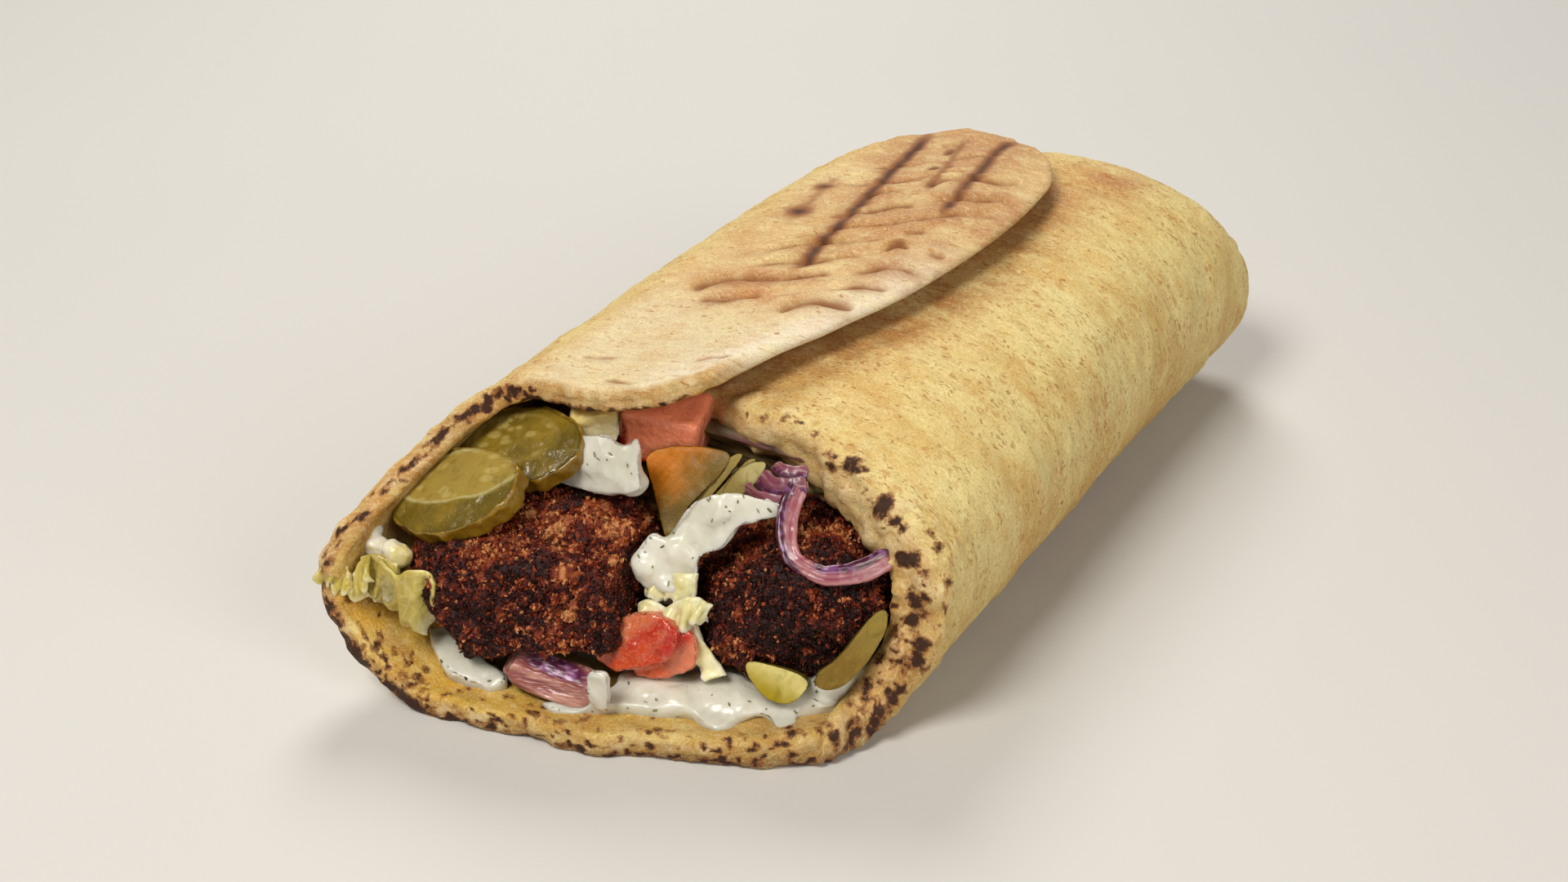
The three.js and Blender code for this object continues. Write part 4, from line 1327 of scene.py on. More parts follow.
def make_falafel(name, shape, look, seed):
    """One ball with crumbs of three sizes in its crust. Gives its points, normals and tones."""
    points, faces, _ = lump(**shape, level=7, focus=0.6)
    bulk = 1.2 * rough_noise(points, 14, seed, 2) + 0.7 * soft_noise(points, 6, seed + 2)
    stirred = points + 0.45 * stirring(rough_noise, points, 2.2, seed + 30)
    chunk, chunk_next, chunk_tone = grains(stirred, 4.2, seed + 3)
    crumb, crumb_next, crumb_tone = grains(stirred, 1.75, seed + 11)
    fine, _, fine_tone = grains(stirred, 0.85, seed + 19)
    height = bulk + 0.75 * dome(chunk, 0.8, -0.7) * (0.3 + chunk_tone)
    height += 0.75 * dome(crumb, 0.75, -0.7) * (0.3 + 1.1 * crumb_tone)
    height += 0.3 * dome(fine, 0.75, -0.5)
    grown = pushed(points, faces, height - 0.9)
    # painted shade in the gaps between crumbs and in the low parts of the relief
    crevice = 0.6 * step(crumb_next - crumb, 0.16, 0.0) + 0.5 * step(chunk_next - chunk, 0.12, 0.0)
    crevice += 0.5 * step(height - bulk, 0.25, -0.45)
    worn = rough_noise(points, 9, seed + 23, 3)
    local = points - np.array(shape["at"])
    foot = local @ unit(np.array([-1, -0.4, -0.7]))
    edges = np.maximum(step(local[:, 2], 6, 13), step(foot, 10, 19))
    tone = 0.04 + 0.4 * crumb_tone**2.2 + 0.26 * fine_tone**2
    tone += 0.36 * step(worn + 0.6 * edges, 0.4, 1.2) - 0.12 * step(worn, 0.1, -0.6)
    piece(
        name + "_crust", grown, faces, "falafel", look, (name,),
        tone=tone, crevice=np.clip(crevice, 0, 1),
    )
    return grown, normals(grown, faces), tone


OCTAHEDRON = (
    np.array([[1, 0, 0], [-1, 0, 0], [0, 1, 0], [0, -1, 0], [0, 0, 1], [0, 0, -1]], float),
    np.array([[0, 2, 4], [2, 1, 4], [1, 3, 4], [3, 0, 4], [2, 0, 5], [1, 2, 5], [3, 1, 5], [0, 3, 5]]),
)


def scattered(shapes, triangles, name, slot, look, **fields):
    """Many small shapes with the same triangles, joined; each field has a row for each shape."""
    count = len(shapes[0])
    starts = np.arange(len(shapes)) * count
    faces = (triangles[None] + starts[:, None, None]).reshape(-1, 3)
    fields = {key: np.repeat(np.array(rows), count, axis=0) for key, rows in fields.items()}
    piece(name, np.concatenate(shapes), faces, slot, look, crisp=True, **fields)


def make_crumbs(crusts, look):
    """Fried crumbs standing out of the crusts, one mesh over both falafel."""
    random = np.random.default_rng(SEED + 5)
    corners, triangles = OCTAHEDRON
    shapes, shades = [], []
    for grown, out, tone in crusts:
        for index in random.choice(np.flatnonzero(out @ VIEWER > -0.25), CRUMBS_EACH, replace=False):
            size = (0.2 + 0.42 * random.uniform() ** 2) * np.array([1.25, *random.uniform(0.4, 0.9, 2)])
            jagged = corners * size * random.uniform(0.6, 1.3, (len(corners), 1))
            shapes.append(
                turned(jagged, random.uniform(0, 360, 3)) + grown[index]
                + out[index] * random.uniform(-0.05, 0.2)
            )
            shades.append(np.clip(tone[index] + random.normal(0.06, 0.2), 0, 0.97))
    scattered(
        shapes, triangles, "falafel_crumbs", "falafel", look,
        tone=shades, crevice=[0.0] * len(shapes),
    )


# ---- cut vegetables ------------------------------------------------------------------------------

RIND = rgb(60, 54, 16)
OLIVE = rgb(104, 86, 22)
YELLOW = rgb(140, 114, 32)
PALE = rgb(168, 142, 64)
PICKLE_BAND = rgb(166, 146, 84)
PICTURE_UP = np.array([-0.25, 0.43, 0.87])  # up the photo, square to VIEWER
PICKLE_GRAIN = np.array([0.79, 0.05, -0.61])  # across the veins of a slice that shows its side
SLAB_AROUND = 168
SLAB_RINGS = 26
SLAB_EDGE = 0.4  # mm, the radius of its rounded edges


def slab(size, outline):
    """A cut slice lying flat, its outline given as radii at even angles and its edges rounded.
    Gives points, faces, how far out each point is (0 to 1) and its side (1 on top, 0 on the edge,
    -1 underneath)."""
    half, edge = np.array(size) / 2, SLAB_EDGE
    corner = np.linspace(0, np.pi / 2, 5)[1:]
    top = [(k / SLAB_RINGS, 0, half[2], 1) for k in range(1, SLAB_RINGS + 1)]
    bend = [
        (1, edge * math.sin(c), half[2] - edge * (1 - math.cos(c)), 0.5 * (1 - c)) for c in corner
    ]
    wall = [(1, edge, z, 0) for z in np.linspace(half[2] - edge, edge - half[2], 6)[1:-1]]
    under = [(share, inset, -z, -side) for share, inset, z, side in (top + bend)[::-1]]
    rows = np.array(top + bend + wall + under)
    angle = np.arange(SLAB_AROUND) / SLAB_AROUND * 2 * np.pi
    table = [[k * 2 * np.pi / len(outline), v] for k, v in enumerate([*outline, outline[0]])]
    radius = through(table, angle)[None]
    share, inset, height, side = (rows[:, [k]] for k in range(4))
    reach = share * (radius - edge / half[1]) + inset / half[1]
    x, y = reach * np.cos(angle) * half[0], reach * np.sin(angle) * half[1]
    points = np.stack([x, y, np.broadcast_to(height, x.shape)], axis=-1).reshape(-1, 3)
    tip = len(points)
    points = np.concatenate([points, [[0, 0, half[2]], [0, 0, -half[2]]]])
    rim = np.arange(SLAB_AROUND)
    fans = [fan(rim, tip), fan(rim + tip - SLAB_AROUND, tip + 1)[:, ::-1]]
    quads = grid_faces(len(rows), SLAB_AROUND, wrap=True)
    faces = [np.concatenate(fans), quads[:, ::-1]]
    out_share = np.concatenate([np.broadcast_to(share, x.shape).ravel(), [0, 0]])
    sides = np.concatenate([np.broadcast_to(side, x.shape).ravel(), [1, -1]])
    return points, faces, out_share, sides


def make_pickle_slice(name, look, at, size, turn, outline, lens, pale, bow, seed, dark=0.0):
    """One slice of pickled cucumber; lens is the paler seed part's middle and reach, as shares."""
    points, faces, share, side = slab(size, outline)
    u, v = points[:, 0] / size[0] * 2, points[:, 1] / size[1] * 2
    rim = np.hypot((u - lens[0]) / lens[2], (v - lens[1]) / lens[3])
    rim = rim + 0.08 * soft_noise(points, 3, seed + 5)
    top = step(np.abs(side), 0.2, 0.9)
    core = step(rim, 1.02, 0.9) * top
    points[:, 2] += bow * (share**2 - 0.4)
    relief = 0.3 * rough_noise(points, 6, seed, 3) - 0.22 * core
    relief += 0.12 * rough_noise(points, 1.6, seed + 2)
    relief += (1 - top) * 0.45 * rough_noise(points * [1, 1, 0.4], 2.2, seed + 3, 2)
    points = pushed(points, faces, relief)
    mottle = rough_noise(points, 5, seed + 7, 3)
    paint = tinted(OLIVE, YELLOW, step(mottle, -0.6, 0.8))
    paint = tinted(paint, PALE, pale * core)
    seed_at, _, _ = grains(points * [0.5, 1, 1], 2.1, seed + 9)
    paint = tinted(paint, rgb(206, 188, 116), 0.4 * step(seed_at, 0.42, 0.3) * core)
    white_line = bell(rim - 1, 0.05) * top
    paint = tinted(paint, rgb(220, 208, 146), 0.7 * pale * white_line)
    paint = tinted(paint, rgb(138, 102, 8), 0.9 * (1 - top))
    paint = tinted(paint, RIND, step(share, 0.955, 0.99) * top * (0.4 + dark))
    paint = paint * (1 - 0.5 * dark * step(v, 0.2, -0.8))[:, None]
    piece(
        name + "_slice", turned(points, turn) + np.array(at), faces, "pickle", look, (name,),
        paint=np.clip(paint, 0, 1),
    )


# Slices seen whole. The outline's numbers are radii at even angles, as shares.
PICKLE_SLICES = {
    "pickle_slice_left": dict(
        at=(-36, -81, 34.8), size=(28.6, 18, 3.8), turn=(30, -20, 8), seed=SEED + 61,
        outline=(0.96, 0.98, 0.96, 0.98, 1, 1, 1.02, 0.96, 1, 1, 0.98, 0.98),
        lens=(0.04, 0.3, 0.9, 0.62), pale=0.85, bow=-1.1,
    ),
    "pickle_slice_top": dict(
        at=(-29.8, -68.8, 40), size=(25.6, 16.4, 3.4), turn=(30, -12, 4), seed=SEED + 62,
        outline=(1, 0.98, 0.92, 1, 1, 1.02, 1, 1, 0.94, 1, 1.04, 1),
        lens=(-0.1, 0.1, 0.72, 0.6), pale=0.12, bow=-1.2, dark=0.35,
    ),
}
# Slices seen partly, as (outlines, thickness, two colours of the flesh, rind, the way the flesh goes
# from the first of its colours to the second).
PICKLE_CUTS = {
    "pickle_slice_middle": (
        [
            [(-12.4, -57, 37.4), (-8, -56.4, 40.4), (-0.4, -55, 41.6), (5, -53.8, 41.4),
             (4.6, -56, 38.4), (1.4, -59, 34.4), (-0.6, -62, 31.4), (-1.4, -66.6, 27),
             (-4.4, -64.6, 31), (-7.4, -62, 34.6)],
            [(7.4, -53.1, 41.7), (4.1, -53.9, 40.9), (-0.2, -58.5, 34.9), (-1.9, -61.1, 31.7),
             (0.9, -60.3, 31.5), (3.4, -57.9, 34.5)],
            [(9.4, -52.4, 41.1), (6.9, -53.4, 40.3), (3, -57.6, 34.3), (1.2, -59.8, 31.9),
             (4, -58.4, 32.9), (7.4, -55.6, 36.5)],
        ],
        1.8, (rgb(118, 92, 34), rgb(196, 114, 10)), rgb(56, 40, 14), (-0.9, 0.1, 0.6),
    ),
    "pickle_sliver": (
        [[(5.4, -57.4, 37.4), (7, -56, 40), (10, -55, 42), (12.8, -55, 42), (11.8, -57, 39),
          (9.4, -58.4, 36), (5.8, -59, 35.2), (4.7, -58.2, 35.6)]],
        1.8, (rgb(150, 132, 76), rgb(196, 182, 124)), rgb(74, 56, 22), (0.5, 0, 0.86),
    ),
    "pickle_wedge": (
        [[(18.4, -74, 14.6), (24.4, -72.2, 13.8), (30.2, -70.4, 12.4), (29.6, -72, 9.8),
          (27.6, -73.6, 7.6), (24, -75.4, 8.4), (20, -74.8, 11)]],
        4.6, (rgb(168, 146, 34), rgb(214, 200, 126)), rgb(120, 104, 30), (0.5, 0, 0.86),
    ),
    "pickle_strip": (
        [[(40.6, -62.6, 25.8), (38.6, -64.8, 25.2), (36.8, -68.4, 21.6), (34.4, -70.8, 17.4),
          (31.8, -72.4, 15.4), (31.4, -73, 12.2), (35.3, -71.6, 11.8), (38, -68.8, 14),
          (39.6, -65.8, 17.6), (41, -63.2, 21.8)]],
        1.8, (rgb(132, 104, 42), rgb(150, 128, 60)), rgb(84, 66, 24), (0.5, 0, 0.86),
    ),
}


def make_pickle_cut(name, look, outlines, thick, flesh, edge, lean):
    """A slice of which only a part shows, with that part's outlines."""
    parts = [
        melted([plate(line, VIEWER, thick)], voxel=0.28, rounds=9, fillet=0.3) for line in outlines
    ]
    points, faces, which = together(parts)
    out = normals(points, faces)
    front = step(out @ VIEWER, 0.3, 0.75)
    points = points + out * (0.14 * rough_noise(points, 3.5, SEED + 65, 2))[:, None]
    drift = points @ np.array(lean)
    drift = (drift - drift.min()) / np.ptp(drift) + 0.16 * rough_noise(points, 5, SEED + 66)
    paint = tinted(*flesh, step(drift, 0.25, 0.85))
    paint = tinted(paint, PICKLE_BAND, 0.7 * (which > 0))
    veins = np.cos(points @ PICKLE_GRAIN * 4.4 + 1.5 * soft_noise(points, 5, SEED + 67))
    veined = 0.06 if len(outlines) > 1 else 0.02  # stronger on the slice with bands
    paint = paint * (1 + veined * veins)[:, None]
    rind = (1 - step(out @ VIEWER, 0.6, 0.95)) * step(out @ PICTURE_UP, -0.2, 0.3)
    paint = np.clip(tinted(paint, edge, np.maximum(rind, 1 - front)), 0, 1)
    piece(name + "_cut", points, faces, "pickle", look, (name,), paint=paint)


# Outlines of the wedge between the falafels and of its pith.
TOMATO_FLESH = [
    (-7, -81, 11.4), (-5.4, -80.4, 15), (-2.6, -79, 18.6), (0.2, -77.4, 20.4), (5, -76.6, 20.6),
    (9, -77, 18.4), (8.4, -78.4, 15), (6.4, -79.6, 12.6), (1.5, -80.6, 11), (-3.4, -81.6, 9),
]
TOMATO_PITH = [
    (6, -76, 18.6), (10, -76.4, 18.4), (11.4, -77, 15), (11, -77.8, 11.4), (5, -79.4, 9),
    (0, -80.4, 8.6), (1, -80, 11),
]


def make_tomato_dice(look):
    points, faces, sphere = lump(
        at=(-10.8, -51.8, 41.4), size=(15, 11, 11.4), power=(9, 9), turn=(10, 6, 16), level=6
    )
    grain = 0.24 * rough_noise(points, 5, SEED + 71) + 0.1 * rough_noise(points, 1.2, SEED + 72)
    points = pushed(points, faces, grain)
    paint = tinted(rgb(255, 150, 112), rgb(244, 70, 34), step(-sphere[:, 2], 0.5, 0.6))
    paint = tinted(paint, rgb(138, 26, 16), step(-sphere[:, 0], 0.56, 0.62))
    edge = np.sort(np.abs(sphere), axis=1)
    skin_line = step(edge[:, 1] / edge[:, 2], 0.86, 0.98) * step(-sphere[:, 2], 0.2, 0.5)
    paint = tinted(paint, rgb(238, 70, 34), 0.8 * skin_line)
    piece("tomato_top_dice", points, faces, "tomato", look, ("tomato_top",), paint=paint)


def make_tomato_wedge(look):
    flesh = plate(TOMATO_FLESH, facing=(0.1, -0.9, 0.42), thick=6.5)
    pith = plate(TOMATO_PITH, facing=VIEWER, thick=3)
    points, faces = melted([flesh, pith], voxel=0.3, rounds=14, fillet=0.4)
    x, _, z = points.T
    grain = 0.6 * rough_noise(points, 5, SEED + 73, 3) + 0.2 * rough_noise(points, 1.3, SEED + 74)
    points = pushed(points, faces, grain)
    mottle = rough_noise(points, 4, SEED + 75)
    paint = tinted(rgb(186, 36, 12), rgb(204, 70, 30), step(mottle, -0.4, 0.5))
    # painted light: the upper left facet is painted paler, as a lit face
    facet = step(1.5 * x - z + 3 * soft_noise(points, 4, SEED + 76), -13, -19)
    paint = tinted(paint, rgb(222, 132, 86), 0.75 * facet)
    paint = tinted(paint, rgb(214, 82, 24), 0.8 * step(z, 12.6, 11))
    pith = step(x + 0.55 * (14 - z) + 1.5 * soft_noise(points, 2.5, SEED + 77), 6.8, 9)
    paint = tinted(paint, rgb(232, 150, 110), 0.6 * pith)
    piece("tomato_low_wedge", points, faces, "tomato", look, ("tomato_low",), paint=paint)


PURPLE = rgb(66, 10, 40)
PINK = rgb(152, 78, 86)
BLUSH = rgb(194, 138, 138)
ONION_RING = [
    (20.4, -57.2, 42.4), (20.6, -61, 39.8), (22, -65, 36.4), (25.6, -68, 33.2), (30.6, -67.6, 31.8),
    (34.8, -64.4, 31.8), (38.6, -58, 32.8),
]
# Shreds, as (points along one, which way it faces, width).
ONION_SHREDS = [
    (((10, -58, 37.6), (14, -60.8, 38.4), (18, -61.4, 38.8), (21.6, -60, 40.4)),
     (0.3, -0.9, 0.2), 2.8),
    (((12.2, -57, 40.4), (16.6, -59.6, 40.8), (22.2, -58.2, 41.8)), VIEWER, 3.6),
    (((14.4, -55.8, 42.6), (17.6, -58, 43.4), (21.4, -56.4, 43.4)), (0.3, -0.6, 0.8), 2.4),
]


def onion_paint(across, points, seed, side=1.0):
    """Purple skin along one edge of a strip, paler ridges and flesh across the rest. The skin is
    on the edge that side names, 1 or -1."""
    across = across * side
    ridge = 0.5 + 0.5 * np.cos(8 * across + 1.2 * soft_noise(points, 4, seed))
    paint = tinted(PINK, BLUSH, 0.8 * ridge * step(across, 0.5, -0.5))
    paint = tinted(paint, rgb(158, 76, 108), 0.25 * (1 - ridge))
    skin = step(across + 0.25 * soft_noise(points, 2, seed + 1), 0.05, 0.4)
    # painted highlights: lilac patches on the purple skin
    lilac = 0.6 * step(rough_noise(points, 1.1, seed + 2), 0.1, 0.5)
    return tinted(paint, tinted(PURPLE, rgb(150, 96, 156), lilac), skin)


def make_onion_ring(look):
    path = smooth_path(ONION_RING, 120)
    swing = 1 + 0.16 * np.sin(np.linspace(0, 9, len(path)))
    points, faces, (across, deep, along) = tube(
        path, VIEWER, wide=3.5 * swing, thick=1.5, around=44, power=3.4
    )
    ridge = 0.07 * np.cos(9 * across) * (np.abs(across) < 0.9)
    points = pushed(points, faces, ridge + 0.2 * rough_noise(points, 2.6, SEED + 81))
    skin_side = mix(1, -1, step(along, 0.46, 0.6))
    piece(
        "onion_ring_cut", points, faces, "onion", look, ("onion_ring",),
        paint=onion_paint(across, points, SEED + 82, skin_side),
        flat=np.stack([along * 60, across * 2, deep], axis=1),
    )


def make_onion_shreds(look):
    strips = [
        tube(smooth_path(line, 40), facing, wide, thick=1.1, around=20, power=3)
        for line, facing, wide in ONION_SHREDS
    ]
    points, faces, _ = together([(p, f) for p, f, _ in strips])
    across = np.concatenate([place[0] for _, _, place in strips])
    along = np.concatenate([place[2] for _, _, place in strips])
    points = pushed(points, faces, 0.2 * rough_noise(points, 2, SEED + 83))
    piece(
        "onion_shreds_cut", points, faces, "onion", look, ("onion_shreds",),
        paint=mix(onion_paint(across, points, SEED + 85), rgb(84, 30, 64), 0.55),
        flat=on_plane(along * 14, across * 1.2),
    )


def make_onion_wedge(look):
    points, faces, sphere = lump(
        at=(-11.4, -88.4, 8.2), size=(19, 7.4, 6.6), power=(3, 3), turn=(8, 12, 12), level=6,
        cuts=[((0, -0.85, 0.5), 2.5), ((0, -0.3, 1), 2.3), ((-1, -0.3, 0.6), 7.4)],
    )
    layers = rough_noise(points * [0.25, 1, 1], 1.6, SEED + 84, 3)
    points = pushed(points, faces, 0.3 * layers)
    paint = tinted(rgb(150, 84, 76), rgb(194, 142, 126), step(layers, -0.5, 0.7))
    mottle = rough_noise(points, 1.6, SEED + 86)
    lilac = tinted(rgb(84, 18, 66), rgb(150, 96, 150), step(mottle, -0.1, 0.5))
    paint = tinted(paint, lilac, 0.9 * step(sphere[:, 2], 0.76, 0.9))
    paint = tinted(paint, rgb(62, 6, 32), step(-sphere[:, 2], 0.4, 0.55))
    flat = np.stack([points[:, 0], points[:, 2] * 1.4, points[:, 1]], axis=1)
    piece("onion_wedge_cut", points, faces, "onion", look, ("onion_wedge",), paint=paint, flat=flat)


FRILL_ROWS = 30
FRILL_COLUMNS = 140


def frill(top, bottom, waves, depth, thick, seed):
    """A ruffled leaf between two lines: it hangs from the first and its frill is on the second.
    Gives points, faces, and how near the frill (0 to 1) and how high on a ruffle each point is."""
    rows, columns = FRILL_ROWS, FRILL_COLUMNS
    top, bottom = smooth_path(top, columns - 1), smooth_path(bottom, columns - 1)
    v = np.linspace(0, 1, rows)[:, None, None]
    u = np.linspace(0, 1, columns)[None, :, None]
    ragged = rough_noise(on_plane(u.ravel() * 14, 0 * u.ravel()), 2.2, seed + 3, 3)
    sheet = mix(top[None], bottom[None], v * (1 + 0.1 * ragged[None, :, None]))
    across, down = np.gradient(sheet, axis=1), np.gradient(sheet, axis=0)
    square = unit(np.cross(across, down))
    phase = 2 * np.pi * waves * u + 1.8 * np.sin(4 * u + seed) + 0.8 * v
    ruffle = np.sin(phase) + 0.35 * v * np.sin(2.3 * phase + 1)
    ruffle = ruffle + 0.16 * (v > 0.7) * (v - 0.7) * np.sin(7 * phase)
    sheet = sheet + square * depth * v**0.8 * ruffle
    curl = depth * np.clip(v - 0.72, 0, 1) / 0.28
    sheet = sheet + unit(down) * 0.4 * depth * v**2 * np.cos(2 * phase) + square * 0.7 * curl**2
    flat = sheet.reshape(-1, 3)
    quads = grid_faces(rows, columns)
    flat = pushed(flat, quads, 0.35 * rough_noise(flat, 2.6, seed, 3))
    square = normals(flat, quads)
    edge = np.minimum(np.minimum(v, 1 - v) * rows, np.minimum(u, 1 - u) * columns)
    body = thick * mix(1.3, 0.8, v)
    half = square * (body / 2 * np.sqrt(np.clip(edge / 2, 0.03, 1))).reshape(-1)[:, None]
    count = rows * columns
    border = np.concatenate([
        np.arange(columns), np.arange(1, rows) * columns + columns - 1,
        (rows - 1) * columns + np.arange(columns - 2, -1, -1), np.arange(rows - 2, 0, -1) * columns,
    ])
    after = np.roll(border, -1)
    rim = np.stack([border, border + count, after + count, after], axis=1)
    faces = np.concatenate([quads, quads[:, ::-1] + count, rim])
    values = [
        np.tile(np.broadcast_to(value, (rows, columns, 1)).ravel(), 2) for value in (v, ruffle)
    ]
    return np.concatenate([flat + half, flat - half]), faces, values


# Leaves, as (line it hangs from, line of its frill, waves, their depth, thickness, seed).
LETTUCE_LEFT = [
    (
        [(-52.8, -99, 23.6), (-51.4, -98, 24.6), (-49, -97, 24.4), (-48.2, -96.6, 22.8),
         (-47.4, -95.6, 24.8), (-45.8, -94, 26)],
        [(-53.6, -100.4, 21.8), (-51, -100.4, 21.6), (-48.6, -100.2, 20.6), (-46.6, -99.2, 19.4),
         (-45, -98.4, 20.2), (-43.8, -96.6, 23)],
        2.7, 1.5, 0.7, 5,
    ),
    (
        [(-46, -94, 25.8), (-43.6, -94, 26), (-41.4, -94.6, 24.8), (-39.6, -95, 24.2),
         (-37.2, -94.4, 25.8), (-34, -93.4, 26.2), (-31.4, -94, 24.6)],
        [(-45, -94.6, 18.6), (-43.4, -94.6, 14.6), (-41, -94.6, 12), (-38.6, -94.6, 13),
         (-36, -94.8, 12), (-34, -94.8, 17), (-31, -94.8, 21.4)],
        2.9, 2.1, 0.7, 13,
    ),
    (
        [(-48, -94, 25), (-44.6, -93, 26), (-41, -92.6, 25)],
        [(-47, -96, 19), (-43.4, -95, 17), (-39.6, -94, 17)],
        1.6, 0.8, 0.8, 8,
    ),
]
LETTUCE_MIDDLE = [
    (
        [(-1.6, -75.6, 20), (1.2, -75.8, 21.6), (4, -76, 21.2), (6.2, -75.6, 23),
         (8.8, -75, 24.4), (11, -75, 24.6), (13, -75, 23.8)],
        [(-0.6, -78.4, 18), (1.2, -78.8, 16.8), (3.6, -79, 17.2), (6.2, -78.6, 17.6),
         (8.4, -78, 18.2), (10.2, -77, 20), (11.6, -76.4, 21.4)],
        4.3, 1.1, 0.9, 21,
    ),
    (
        [(9.9, -74.6, 22.4), (9.9, -74.8, 18.9), (10.7, -75, 16.7), (12, -75, 15), (14, -75.4, 13.2),
         (16.2, -75.8, 11)],
        [(5.4, -75.6, 20.6), (6.4, -76.2, 17.2), (8, -76.8, 15.4), (9.4, -77.2, 13.5),
         (11, -77.4, 11.2), (13.2, -77.6, 9.8)],
        2.6, 0.8, 1.1, 25,
    ),
    (
        [(-1.4, -72, 25), (3, -71.8, 25.6), (8, -71.6, 27)],
        [(-1.6, -74.6, 21), (3, -74.8, 21.4), (8, -74.4, 22.6)],
        2.3, 0.9, 0.8, 31,
    ),
]


# Colours of the leaves, from the rib to the frill's tip, and the painted shade in the hollows of the
# ruffles.
LEAF_TONES = rgb(208, 190, 104), rgb(210, 192, 96), rgb(252, 246, 188), rgb(146, 118, 30)
PALER_TONES = rgb(250, 248, 204), rgb(246, 242, 184), rgb(255, 255, 228), rgb(204, 190, 118)


def make_leaves(look):
    for name, leaves, (rib, leaf, tip, valley) in (
        ("lettuce_left", LETTUCE_LEFT, LEAF_TONES),
        ("lettuce_middle", LETTUCE_MIDDLE, PALER_TONES),
    ):
        grown = [frill(*leaf_lines) for leaf_lines in leaves]
        points, faces, _ = together([(p, f) for p, f, _ in grown])
        place, ruffle = (np.concatenate([values[k] for _, _, values in grown]) for k in (0, 1))
        paint = tinted(rib, leaf, step(place, 0.05, 0.5))
        paint = tinted(paint, tip, step(place, 0.76, 0.96))
        # painted shade in the hollows of the ruffles
        hollow = step(ruffle, 0.3, -1.1) * step(place, 1, 0.7)
        paint = tinted(paint, valley, 0.6 * hollow)
        piece(name + "_leaf", points, faces, "lettuce", look, (name,), paint=paint)


# Lumps of the cabbage at the left rim, as (middle, size, powers, turn).
CABBAGE_BITS = [
    ((-49.8, -89.6, 27.2), (5.4, 4, 5.4), (2.2, 2.2), (10, 30, 0)),
    ((-47, -90.6, 25), (5.4, 4.4, 4.4), (2.4, 2.4), (0, 30, 10)),
    ((-42.6, -90.8, 25.4), (5.4, 4, 4.6), (2.4, 2.4), (0, 8, 10)),
    ((-50.6, -90.4, 25.2), (2.4, 3, 4), (2.2, 2.2), (0, 0, 10)),
]


def make_cabbage(look):
    bits = [lump(*bit, level=4)[:2] for bit in CABBAGE_BITS]
    points, faces = melted(bits, voxel=0.25, rounds=4, fillet=0)
    points = pushed(points, faces, 0.5 * rough_noise(points, 2.8, SEED + 91, 3))
    paint = tinted(rgb(236, 230, 212), rgb(222, 206, 142), step(points[:, 0], -44, -41))
    piece("cabbage_bits_cut", points, faces, "cabbage", look, ("cabbage_bits",), paint=paint)
    points, faces, sphere = lump(
        at=(-20.6, -59.8, 43.2), size=(9, 6, 7), power=(4, 4), turn=(14, 0, 20), level=5,
        cuts=[((0.3, -1, 0.1), 2.4)],
    )
    points = pushed(points, faces, 0.4 * rough_noise(points, 3, SEED + 92, 3))
    paint = tinted(rgb(255, 244, 196), rgb(240, 210, 130), step(sphere[:, 2], 0, 0.8))
    piece("cabbage_rib_cut", points, faces, "cabbage", look, ("cabbage_rib",), paint=paint)


# ---- sauce and herbs -----------------------------------------------------------------------------


def blob(at, size, turn=(0, 0, 0)):
    return lump(at, size, power=(2, 2), turn=turn, level=3)[:2]


